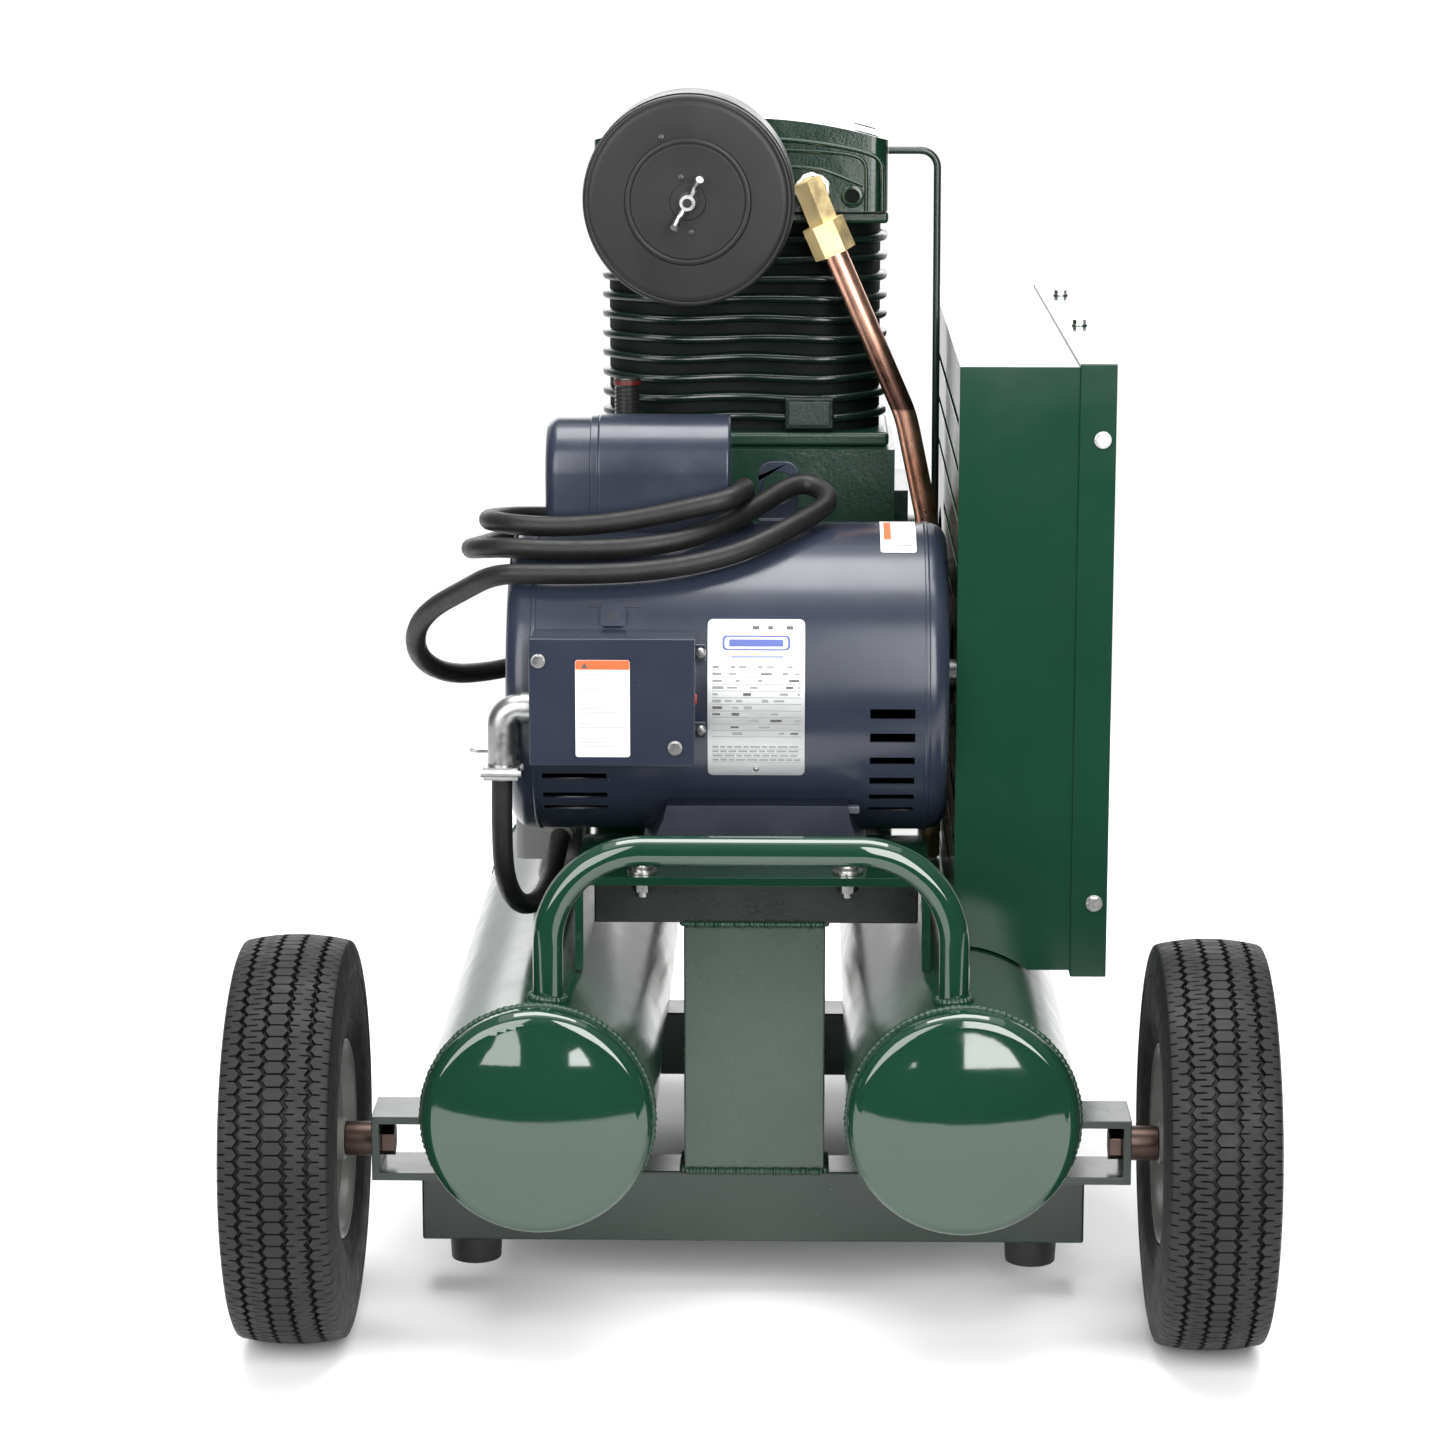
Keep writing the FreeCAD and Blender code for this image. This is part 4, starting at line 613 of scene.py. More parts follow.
def tyre(side):
    cx = 289.5 * side
    N = 98
    phases = [0.0, 0.07, 0.25, 0.43, 0.5, 0.57, 0.75, 0.93]

    def tri(p):
        return 4 * abs(p - 0.5) - 1
    # across the tread: (position, zigzag share, depth, slit kind)
    half = [(0.0, 0, 0.0, "c"), (5.2, 1, 0.0, "c"), (5.7, 1, 4.6, ""), (8.1, 1, 4.6, ""), (8.6, 1, 0.0, "r0"), (13.2, 1, 0.0, "r1"), (15.2, 1, 0.0, "r2"), (19.7, 1, 0.0, "r3"),
            (20.2, 1, 4.6, ""), (22.6, 1, 4.6, ""), (23.1, 1, 0.0, "s0"), (26.4, 0.4, 0.0, "s1"), (28.8, 0.0, 0.0, "s2"), (31.4, 0.0, 0.0, "s3"), (32.8, 0.0, 0.5, "s4")]
    side_prof = [(33.8, 123.4), (34.6, 119.6), (35.3, 114.0), (35.6, 109.0), (35.62, 108.2), (35.95, 107.9), (35.95, 106.0), (35.6, 105.6), (35.8, 99.0), (35.5, 90.0), (34.7, 82.0), (33.5, 76.0), (33.1, 75.4),
                 (33.6, 74.8), (33.2, 72.5), (32.2, 70.0), (31.4, 67.0), (30.6, 64.4)]
    zig = 1.45
    verts, faces, rows = [], [], []
    cols = []
    for s, a, dep, kind in reversed(half[1:]):
        cols.append((-s, -a, dep, kind))
    cols += half
    ring_n = N * len(phases)
    for g in range(N):
        for p in phases:
            th = 2 * math.pi * (g + p) / N
            tr = tri(p)
            row = []
            # inner bore, from the right bead round to the left bead
            loop = []
            for s, a, dep, kind in cols:
                sgn = -1 if s < 0 else 1
                ss = s + a * zig * tr
                crown = 130.0 - 0.0036 * ss * ss
                d = dep
                deep = p in (0.0,)
                deep2 = p in (0.5,)
                if kind == "c" and deep2:
                    d = 2.6
                if kind in ("r0", "r1") and (deep2 if sgn > 0 else deep):
                    d = 2.4
                if kind in ("r2", "r3") and (deep if sgn > 0 else deep2):
                    d = 2.4
                if kind in ("s0", "s1") and deep:
                    d = 2.6
                if kind in ("s3", "s4") and deep2:
                    d = 3.4
                if kind in ("s2",) and deep2:
                    d = 0.4
                loop.append((ss, crown - d))
            for s, r in side_prof:
                rr = r
                if r > 118 and p == 0.5:
                    rr = r - 1.2
                loop.append((s, rr))
            for s, r in reversed(side_prof):
                rr = r
                if r > 118 and p == 0.5:
                    rr = r - 1.2
                loop.append((-s, rr))
            for s, r in loop:
                verts.append(P(cx + s, 0, 130) + Vector((0, math.cos(th), math.sin(th))) * (r / 1000))
                row.append(len(verts) - 1)
            rows.append(row)
    k = len(rows[0])
    for i in range(ring_n):
        j = (i + 1) % ring_n
        for c in range(k):
            e = (c + 1) % k
            faces.append((rows[i][c], rows[j][c], rows[j][e], rows[i][e]))
    ob = mesh_ob("tyre_" + ("right" if side > 0 else "left"), verts, faces, 28)
    body = "right_wheel" if side > 0 else "left_wheel"
    link(ob, body, M["tyre"])
    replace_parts(ob, "right_tyre" if side > 0 else "left_tyre")
    return ob


def rim(side):
    cx = 289.5 * side
    body = "right_wheel" if side > 0 else "left_wheel"
    nm = "right" if side > 0 else "left"
    disc = [(11.0, 21.5), (9.0, 23.6), (8.8, 34.0), (10.2, 37.5), (16.0, 43.5), (19.0, 48.0), (20.5, 53.0), (22.5, 56.6), (26.5, 58.0), (29.5, 58.8), (30.9, 60.6), (30.9, 62.6), (30.2, 63.5)]
    hub_in = [(30.9, 6.6), (30.9, 12.6), (30.2, 13.4), (20.5, 13.4), (19.2, 14.6), (18.2, 18.0), (16.4, 20.0)]
    hub_out = [(24.9, 6.6), (24.9, 12.6), (24.2, 13.4), (20.5, 13.4), (19.2, 14.6), (18.2, 18.0), (16.4, 20.0)]
    plus, minus = (hub_out, hub_in) if side > 0 else (hub_in, hub_out)
    prof = plus + disc + [(-h, r_) for h, r_ in reversed(minus + disc)]
    ob = lathe("wheel_disc_" + nm, prof, (cx, 0, 130), (1, 0, 0), 96, 40)
    link(ob, body, M["rim"])
    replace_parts(ob, "right_rim" if side > 0 else "left_rim")
    for s in (-1, 1):
        for q in range(4):
            an = math.radians(45 + 90 * q)
            y, z = 28.5 * math.cos(an), 130 + 28.5 * math.sin(an)
            hexp = [(4.9 * math.cos(math.radians(60 * i)), 4.9 * math.sin(math.radians(60 * i))) for i in range(6)]
            link(prism("wheel_bolt_%s_%d_%d" % (nm, s + 1, q), hexp, 4.2, (cx + s * 8.6, y, z), (s, 0, 0), 0.5), body, M["zinc"])
            link(lathe("wheel_washer_%s_%d_%d" % (nm, s + 1, q), [(0, 0), (0, 6.4), (0.8, 6.4), (1.0, 6.0), (1.0, 0)], (cx + s * 8.4, y, z), (s, 0, 0), 32), body, M["zinc"])
    link(lathe("valve_stem_" + nm, [(0, 0), (0, 4.6), (4, 4.2), (7, 3.0), (17, 2.9), (17.5, 3.6), (24, 3.6), (25, 3.0), (25, 0)], (cx + side * 12, 0, 130 + 49), (side, 0, 0.22), 28), body, M["rubber"])


for sd in (-1, 1):
    tyre(sd)
    rim(sd)

# ------------------------------------------------------------------ skins for the CAD nodes
# deck_beam takes the darker green (painted shade), front_post the lighter green (painted sheen), the tank shells a
# slightly darker green (painted shade)
SKINS = {
    "left_tank_shell": ("green_shell", 0.0), "right_tank_shell": ("green_shell", 0.0), "tank_heads": ("green", 0.0), "crossmembers": ("green_frame", 1.6),
    "front_post": ("post", 2.2), "deck_beam": ("green_shaded", 1.2), "deck_plate": ("green", 1.2), "tank_handle": ("green", 0.0),
    "axle_brackets": ("green_frame", 0.8), "axle_bolts": ("dark_steel", 0.4), "crossover_pipe": ("green", 0.3), "drain_handle": ("brass", 0.4),
    "manifold": ("diecast", 1.0), "pressure_gauge": ("black", 0.5), "safety_valve": ("brass", 0.3), "safety_valve_ring": ("zinc", 0.0),
    "outlet_valve": ("brass", 0.4), "outlet_valve_handle": ("zinc", 0.4), "pressure_switch": ("grey", 0.9), "pressure_switch_lever": ("black", 1.2),
    "discharge_tube": ("copper", 0.0), "discharge_fittings": ("brass", 0.5), "brace_rod": ("green_frame", 0.0), "motor_shell": ("navy", 0.4),
    "motor_end_bells": ("navy", 0.8), "motor_stator": ("laminate", 0.0), "motor_rotor": ("steel", 0.3),
    "shaft_bearings": ("steel", 0.3), "terminal_box": ("navy", 0.8), "terminal_box_cover": ("navy", 0.9), "reset_button": ("red", 0.5),
    "start_capacitor": ("black", 0.8), "lifting_lug": ("navy", 0.7),
    "motor_pulley": ("iron", 0.5), "flywheel": ("iron", 0.6), "drive_belt": ("belt", 0.0), "crankcase": ("cast", 1.8), "crankshaft": ("steel", 0.4),
    "pistons": ("diecast", 0.3), "pump_head": ("cast_head", 1.6), 
    "filter_base": ("charcoal", 0.8), "filter_canister": ("charcoal", 0.8), "filter_wing_nut": ("zinc", 0.0), "guard_pan": ("green_sheet", 0.7),
    "guard_cover": ("green_sheet", 0.8), "fasteners": ("zinc", 0.35), "cable_connector": ("diecast", 0.5), "rubber_feet": ("rubber", 0.8),
}
for node_name, (mk, bw) in SKINS.items():
    recast(node_name, M[mk], bevel=bw)

# ------------------------------------------------------------------ motor dress
MY, MZ, MR = 175.0, 398.0, 102.0


def barrel_patch(name, x0, x1, a0, a1, r0, r1, mat, corner=0.0):
    """Closed piece that follows the front of the motor barrel. Angles in degrees, up from the front."""
    t0, t1 = math.radians(a0), math.radians(a1)
    n = 3 if corner == 0 and (a1 - a0) < 4 else 40
    stops = [t0 + (t1 - t0) * i / n for i in range(n + 1)]
    if corner:
        ct = corner / r1
        extra = [ct * (1 - math.cos(math.radians(15 * k))) for k in range(1, 6)]
        stops = sorted(set(stops + [t0 + e for e in extra] + [t1 - e for e in extra]))
    verts, faces = [], []
    for t in stops:
        inset = 0.0
        if corner:
            s = min(t - t0, t1 - t) * r1
            if s < corner:
                inset = corner - math.sqrt(max(0.0, corner ** 2 - (corner - s) ** 2))
        for x, r in ((x0 + inset, r1), (x1 - inset, r1), (x1 - inset, r0), (x0 + inset, r0)):
            verts.append(P(x, MY - r * math.cos(t), MZ + r * math.sin(t)))
    for i in range(len(stops) - 1):
        for k in range(4):
            l = (k + 1) % 4
            faces.append((4 * i + k, 4 * i + l, 4 * i + 4 + l, 4 * i + 4 + k))
    e = 4 * (len(stops) - 1)
    faces += [(3, 2, 1, 0), (e, e + 1, e + 2, e + 3)]
    return link(mesh_ob(name, verts, faces, 30), FRAME_BODY, mat)


def za(z, r=MR):
    return math.degrees(math.asin(max(-1.0, min(1.0, (z - MZ) / r))))


plate = barrel_patch("nameplate_skin", -29.4, 33.0, za(350.0), za(451.2), MR + 0.15, MR + 0.70, M["plate"], 3.6)
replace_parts(plate, "nameplate")
PL, PR, PT, PB = -29.4, 33.0, 451.2, 350.0
PW, PH = PR - PL, PT - PB


def on_plate(name, u0, u1, v, h, mat, lift=0.78):
    a = za(PT - v * PH)
    d = math.degrees(h / MR) / 2
    barrel_patch(name, PL + u0 * PW, PL + u1 * PW, a - d, a + d, MR + 0.60, MR + lift, mat)


for k, (u0, u1) in enumerate(((0.46, 0.53), (0.62, 0.67), (0.81, 0.88))):
    on_plate("plate_mark_%d" % k, u0, u1, 0.050, 2.4, M["ink"])
barrel_patch("plate_bar_blue", PL + 0.15 * PW, PL + 0.85 * PW, za(PT - 0.185 * PH), za(PT - 0.095 * PH), MR + 0.60, MR + 0.80, M["blue"], 3.0)
barrel_patch("plate_bar_field", PL + 0.175 * PW, PL + 0.825 * PW, za(PT - 0.175 * PH), za(PT - 0.105 * PH), MR + 0.60, MR + 0.84, M["plate"], 2.4)
barrel_patch("plate_bar_core", PL + 0.22 * PW, PL + 0.78 * PW, za(PT - 0.162 * PH), za(PT - 0.118 * PH), MR + 0.60, MR + 0.88, M["blue"], 0.8)
on_plate("plate_bar_under", 0.24, 0.78, 0.222, 1.5, M["ink_blue"])
for k in range(11):
    v = 0.285 + 0.0425 * k
    on_plate("plate_rule_%02d" % k, 0.045, 0.965, v + 0.021, 0.45, M["ink_light"], 0.76)
    u = 0.05
    q = 0
    while u < 0.93:
        w = rng.uniform(0.04, 0.12)
        if rng.random() < 0.62:
            on_plate("plate_dash_%02d_%d" % (k, q), u, min(0.95, u + w), v, rng.choice((1.3, 1.6, 1.9)), M["ink_light"] if rng.random() < 0.7 else M["ink"], 0.77)
        u += w + rng.uniform(0.03, 0.14)
        q += 1
for k in range(4):
    v = 0.800 + 0.030 * k
    u, q = 0.05, 0
    while u < 0.93:
        w = rng.uniform(0.05, 0.11)
        on_plate("plate_note_%d_%d" % (k, q), u, min(0.955, u + w), v, 1.25, M["ink_light"], 0.77)
        u += w + 0.018
        q += 1
    on_plate("plate_line_%d" % k, 0.045, 0.965, v + 0.016, 0.30, M["ink_light"], 0.76)
a_r = math.radians(za(PT - 0.952 * PH))
link(lathe("plate_rivet", [(0, 0), (0, 1.9), (0.5, 1.8), (0.9, 1.2), (1.05, 0.0)], (PL + 0.50 * PW, MY - (MR + 0.6) * math.cos(a_r), MZ + (MR + 0.6) * math.sin(a_r)),
           (0, -math.cos(a_r), math.sin(a_r)), 28), FRAME_BODY, M["zinc"])

# small printed label at the right end of the barrel
barrel_patch("barrel_label", 82.0, 105.2, 62.5, 97.0, MR + 0.10, MR + 0.28, M["white"], 1.6)
barrel_patch("barrel_label_mark", 84.2, 89.0, 71.0, 92.5, MR + 0.20, MR + 0.34, M["orange"], 0.5)
for k in range(6):
    barrel_patch("barrel_label_line_%d" % k, 91.5, 103.0, 66.5 + 4.6 * k, 67.3 + 4.6 * k, MR + 0.20, MR + 0.32, M["ink_light"])


def xz_plate(name, pts, y0, y1, mat, bevel=0.0):
    """Closed plate with an outline in the X-Z plane (design mm), between two y values."""
    n = len(pts)
    v = [P(x, y0, z) for x, z in pts] + [P(x, y1, z) for x, z in pts]
    f = [tuple(range(n)), tuple(range(2 * n - 1, n - 1, -1))] + [(i, (i + 1) % n, n + (i + 1) % n, n + i) for i in range(n)]
    ob = mesh_ob(name, v, f)
    if bevel:
        bevelled(ob, bevel / 1000, 2)
    return link(ob, FRAME_BODY, mat)


def rrect(x0, x1, z0, z1, r, top=True, bottom=True):
    pts = []
    for cx, cz, s, on in ((x1 - r, z1 - r, 0, top), (x0 + r, z1 - r, 90, top), (x0 + r, z0 + r, 180, bottom), (x1 - r, z0 + r, 270, bottom)):
        if on:
            pts += arc_pts(cx, cz, r, s, s + 90, 6)
        else:
            pts.append((x1 if s in (0, 270) else x0, z1 if s < 180 else z0))
    return pts


LX0, LX1, LZ0, LZ1 = -112.6, -78.0, 369.8, 432.5
xz_plate("cover_label", rrect(LX0, LX1, LZ0, LZ1, 1.8), 44.78, 45.05, M["white"])
xz_plate("cover_label_band", rrect(LX0 + 0.15, LX1 - 0.15, LZ1 - 6.2, LZ1 - 0.15, 1.6, True, False), 44.70, 44.9, M["orange"])
xz_plate("cover_label_sign", [(LX0 + 3.6, LZ1 - 5.2), (LX0 + 8.2, LZ1 - 5.2), (LX0 + 5.9, LZ1 - 1.6)], 44.64, 44.8, M["ink"])
k, z = 0, LZ1 - 9.6
while z > LZ0 + 2.5:
    if k not in (5, 11, 15):
        w1 = rng.uniform(0.72, 0.98) if k % 3 else 0.55
        xz_plate("cover_label_line_%02d" % k, [(LX0 + 2.2, z), (LX0 + 2.2 + (LX1 - LX0 - 4.4) * w1, z), (LX0 + 2.2 + (LX1 - LX0 - 4.4) * w1, z + 0.8), (LX0 + 2.2, z + 0.8)],
                 44.72, 44.9, M["ink_pale"])
    z -= 2.45
    k += 1

# side tabs of the terminal box with their screws, the hook tab over it, foot clamps
for k, (z0, z1) in enumerate(((428.0, 439.0), (377.5, 388.5))):
    link(block("box_tab_%d" % k, -38.2, -30.5, 66.0, 69.0, z0, z1, 1.2), FRAME_BODY, M["navy"])
    link(lathe("box_tab_screw_%d" % k, [(0, 0), (0, 3.4), (1.6, 3.3), (2.4, 2.5), (2.7, 0)], (-33.6, 66.0, (z0 + z1) / 2), (0, -1, 0), 28), FRAME_BODY, M["zinc"])
# hook_slot and hook_tab_hole are dark strips on the navy: painted shade for a slot and a hole
barrel_patch("hook_slot", -106.5, -73.5, za(458.0), za(459.6), MR + 0.02, MR + 0.30, M["navy_dark"])
barrel_patch("hook_tab", -98.5, -82.0, za(446.2), za(458.4), MR + 0.05, MR + 3.2, M["navy"], 3.0)
barrel_patch("hook_tab_hole", -94.5, -86.0, za(449.2), za(454.6), MR + 1.0, MR + 3.35, M["navy_dark"], 2.2)
# the saddle takes the darker navy: painted shade under the motor barrel
saddle = xz_plate("motor_saddle", [(-74, 291.3), (74, 291.3), (73, 297), (67, 309), (62.5, 322), (61, 331), (-56, 331), (-58, 322), (-64, 309), (-73, 297)], 76.5, 273.5, M["navy_dark"], 1.2)
cutter = lathe("saddle_cutter", [(-200, 0.0), (-200, MR + 0.2), (200, MR + 0.2), (200, 0.0)], (0, MY, MZ), (1, 0, 0), 192)
scene.collection.objects.link(cutter)
bm_ = saddle.modifiers.new("barrel_seat", "BOOLEAN")
bm_.operation, bm_.object, bm_.solver = "DIFFERENCE", cutter, "EXACT"
saddle.modifiers.move(len(saddle.modifiers) - 1, 0)
bpy.context.view_layer.update()
dg_ = bpy.context.evaluated_depsgraph_get()
me_ = bpy.data.meshes.new_from_object(saddle.evaluated_get(dg_))
saddle.modifiers.clear()
saddle.data = me_
saddle.data.materials.clear()
saddle.data.materials.append(M["navy_dark"])
bpy.data.objects.remove(cutter)
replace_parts(saddle, "motor_base")
# foot clamps in the lighter navy: painted highlight
for k, (x0, x1) in enumerate(((-41.0, -17.0), (44.0, 69.0))):
    link(block("foot_clamp_%d" % k, x0, x1, 92.5, 99.0, 322.0, 327.5, 1.4), FRAME_BODY, M["navy_light"])
    link(block("foot_clamp_step_%d" % k, x0 - 3, x0 + 8, 93.5, 98.0, 326.0, 330.5, 1.4), FRAME_BODY, M["navy_light"])
for k, xr in enumerate((-142.0, 112.0)):
    link(lathe("barrel_roll_%d" % k, [(-1.6, MR - 1), (-1.6, MR + 0.3), (-0.8, MR + 0.75), (0.8, MR + 0.75), (1.6, MR + 0.3), (1.6, MR - 1)], (xr, MY, MZ), (1, 0, 0), 128), FRAME_BODY, M["navy"])
# capacitor cover: a rounded hood and the smaller end piece it laps over


def hood(name, x0, x1, inset, end_round, bevel):
    yc, zc, R = 187.75, 535.0, 35.75 - inset
    prof = [(yc - R, 484.0), (yc - R, zc)] + arc_pts(yc, zc, R, 180, 0, 32)[1:-1] + [(yc + R, zc), (yc + R, 484.0)]
    stops = [(x0, end_round)] + [(x0 + end_round * (1 - math.cos(math.radians(a))), end_round * (1 - math.sin(math.radians(a)))) for a in (15, 35, 55, 75, 90)] if end_round else [(x0, 0.0)]
    stops += [(x1, 0.0)]
    n = len(prof)
    v, f = [], []
    for x, d in stops:
        k_ = (R - d) / R
        v += [P(x, yc + (y - yc) * k_, 484.0 + (z - 484.0) * (1 - d / 87.0) if z > 484.0 else z) for y, z in prof]
    m_ = len(stops)
    f = [tuple(range(n)), tuple(reversed(range(n * (m_ - 1), n * m_)))]
    for q in range(m_ - 1):
        for w in range(n):
            l = (w + 1) % n
            f.append((q * n + w, q * n + l, q * n + n + l, q * n + n + w))
    ob = mesh_ob(name, v, f, 40)
    if bevel:
        bevelled(ob, bevel / 1000, 3)
    return link(ob, FRAME_BODY, M["navy"])


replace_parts(hood("capacitor_hood", -104.0, -16.5, 0.0, 0.0, 2.2), "capacitor_cover")
hood("capacitor_hood_end", -138.0, -101.0, 1.8, 9.0, 0.0)
hood("capacitor_hood_lap", -108.5, -103.0, 0.5, 0.0, 0.8)

# ------------------------------------------------------------------ pump castings
CX = (-61.5, 39.5)


def twin_outline(r, waist, n=40):
    """Outline of two joined round cylinders, in the X-Y plane (design mm)."""
    pts = []
    x0, x1 = CX
    for i in range(n + 1):
        t = -90 + 180 * i / n
        pts.append((x1 + r * math.cos(math.radians(t)), 435 + r * math.sin(math.radians(t))))
    m_ = 14
    for i in range(1, m_):
        u = i / m_
        pts.append((x1 + (x0 - x1) * u, 435 + r - waist * math.sin(math.pi * u) ** 2))
    for i in range(n + 1):
        t = 90 + 180 * i / n
        pts.append((x0 + r * math.cos(math.radians(t)), 435 + r * math.sin(math.radians(t))))
    for i in range(1, m_):
        u = i / m_
        pts.append((x0 + (x1 - x0) * u, 435 - r + waist * math.sin(math.pi * u) ** 2))
    return pts


def stack(name, layers, mat, angle=40):
    """Closed solid from same-length outlines at rising z: [(points, z), ...]; z may be a function of x and y."""
    n = len(layers[0][0])
    v = []
    for pts, z in layers:
        v += [P(x, y, z(x, y) if callable(z) else z) for x, y in pts]
    f = [tuple(reversed(range(n))), tuple(range(n * (len(layers) - 1), n * len(layers)))]
    for k in range(len(layers) - 1):
        for i in range(n):
            j = (i + 1) % n
            f.append((k * n + i, k * n + j, k * n + n + j, k * n + n + i))
    return link(mesh_ob(name, v, f, angle), FRAME_BODY, mat)


# one dark solid for both barrels, its web filling the air gap between the cylinders: painted shade between the fins
core = stack("cylinder_barrels", [(twin_outline(46.5, 9), 531.0), (twin_outline(46.5, 9), 684.0)], M["fin_core"])
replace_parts(core, "cylinder_block")
# the fins take the darker green: painted shade
for i in range(10):
    fz = 541.0 + i * 13.95
    ph = rng.random() * 6.28
    am = rng.uniform(0.35, 0.7)

    def zf(dz, ph=ph, am=am, fz=fz):
        return lambda x, y: fz + 2.0 + dz + am * math.sin(x / 17.0 + ph) * (1 if y < 435 else -1)
    layers = [(twin_outline(44.0, 9), zf(-4.0)), (twin_outline(48.0, 7.5), zf(-3.2)), (twin_outline(50.2, 6.4), zf(-2.6)), (twin_outline(51.2, 6), zf(-1.6)), (twin_outline(51.5, 6), zf(0.0)),
              (twin_outline(51.2, 6), zf(1.6)), (twin_outline(50.2, 6.4), zf(2.6)), (twin_outline(48.0, 7.5), zf(3.2)), (twin_outline(44.0, 9), zf(4.0))]
    stack("cooling_fin_%02d" % i, layers, M["fin"], 60)
for nm_, x0, x1, y0, y1, z0, z1, bv in (("cylinder_foot", -115, 92, 381, 489, 523.2, 533.2, 3.0), ("cylinder_top", -113.5, 90.5, 383, 487, 680.5, 689.0, 2.6)):
    link(block(nm_, x0, x1, y0, y1, z0, z1, bv, 4), FRAME_BODY, M["cast"])
# the pad takes the darker fin green: painted shade among the fins
link(block("cast_pad", 18.0, 53.0, 381.2, 396.0, 535.0, 558.0, 1.6, 3), FRAME_BODY, M["fin"])
link(block("cast_pad_panel", 21.0, 50.0, 380.6, 383.0, 538.0, 555.0, 0.7, 2), FRAME_BODY, M["cast_plain"])


def rib(name, pts, r=1.5, mat="cast_head"):
    full = [(x, 376.9, z) for x, z in pts]
    return tube(name, full, r, res=2, kind="POLY", mat=M[mat])


def soft(pts, n=3):
    """Rounds the corners of a line of (x, z) points."""
    for _ in range(n):
        new = [pts[0]]
        for p, q in zip(pts, pts[1:]):
            new += [(p[0] * 0.75 + q[0] * 0.25, p[1] * 0.75 + q[1] * 0.25), (p[0] * 0.25 + q[0] * 0.75, p[1] * 0.25 + q[1] * 0.75)]
        new.append(pts[-1])
        pts = new
    return pts


def both(pts):
    """A line on the right half of the head, carried over to the left half."""
    return soft(list(reversed(pts)) + [(-26.0 - x, z) for x, z in pts])


rib("head_rib_outer", both([(-8.0, 740.2), (18.0, 739.3), (44.0, 736.6), (72.0, 731.4), (85.0, 726.0), (85.8, 712.0), (85.8, 686.8 + 3.0)]), 1.7)
rib("head_rib_inner", both([(-8.0, 732.4), (18.0, 732.0), (45.0, 731.0), (66.0, 728.8), (74.4, 724.0), (74.6, 710.0), (74.6, 686.8 + 3.0)]), 1.4)
rib("head_rib_roof", both([(22.4, 716.6), (37.4, 721.0), (56.0, 714.2), (72.6, 707.4)][1:]), 1.4)
link(lathe("head_port_boss", [(0, 5.1), (0, 8.2), (1.0, 8.0), (1.5, 7.2), (1.5, 5.1)], (65, 377.2, 700), (0, -1, 0), 40), FRAME_BODY, M["cast_head"])
link(block("head_gasket", -114.5, 88.5, 378.5, 491.5, 688.2, 689.9, 0.3, 1), FRAME_BODY, M["rubber"])
# a dark disc set in the port: painted shade inside the hole
link(lathe("head_port_throat", [(0, 0), (0, 4.9), (3.0, 4.9), (3.0, 0)], (65, 378.6, 700), (0, 1, 0), 32), FRAME_BODY, M["fin_core"])
# raised panels and pads of the crankcase casting, back and both sides
xz_plate("crankcase_back_pad", rrect(-92, 84, 322, 492, 14), 528.5, 533.5, M["cast"], 1.6)
xz_plate("crankcase_back_panel", rrect(-76, 68, 338, 476, 10), 531.0, 535.2, M["cast"], 1.4)
for k in range(6):
    x_, z_ = (-84 + 160 * (k % 2)), (332, 407, 482)[k // 2]
    link(lathe("crankcase_boss_%d" % k, [(0, 0), (0, 7.2), (3.4, 6.6), (4.2, 5.6), (4.2, 0)], (x_, 532.0, z_), (0, 1, 0), 32), FRAME_BODY, M["cast"])
for k in range(5):
    link(block("crankcase_rib_%d" % k, -64 + 31 * k, -58 + 31 * k, 490.0, 531.5, 498.0, 521.5, 1.6), FRAME_BODY, M["cast"])
for k, y in enumerate((356.0, 512.0)):
    link(block("crankcase_side_rib_%d" % k, -125.2, -120.0, y - 4, y + 4, 300.0, 516.0, 1.6), FRAME_BODY, M["cast"])
# sealing tape at the discharge port
link(lathe("port_tape", [(-1.2, 9.6), (-1.2, 11.6), (0.4, 12.2), (1.8, 11.4), (2.4, 9.6)], (37, 376.4, 704.4), (0, -1, 0), 48, wobble=lambda k, t: 0.35 * math.sin(5 * t + k) + 0.25 * math.sin(11 * t)),
     FRAME_BODY, M["thread_tape"])
# oil filler: pipe, ribbed cap, dark red ring
pipe_ = link(lathe("filler_pipe", [(-110, 0.0), (-110, 7.4), (-109, 7.8), (-26, 7.8), (-26, 0.0)], (-92, 348.5, 576), (0, 0, 1), 48), FRAME_BODY, M["black"])
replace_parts(pipe_, "oil_filler")
cap = [(-30.0, 0.0), (-30.0, 8.4)]
for k in range(8):
    h = -29.0 + k * 2.9
    cap += [(h, 8.9), (h + 1.5, 8.9), (h + 1.9, 8.3), (h + 2.5, 8.3)]
cap += [(-5.4, 8.9), (-5.0, 9.2), (-0.8, 9.2), (0.0, 8.4), (0.0, 0.0)]
link(lathe("filler_cap", cap, (-92, 348.5, 576), (0, 0, 1), 48), FRAME_BODY, M["black"])
link(lathe("filler_ring", [(-4.6, 9.0), (-4.6, 9.45), (-1.6, 9.45), (-1.6, 9.0)], (-92, 348.5, 576), (0, 0, 1), 48), FRAME_BODY, M["dark_red"])
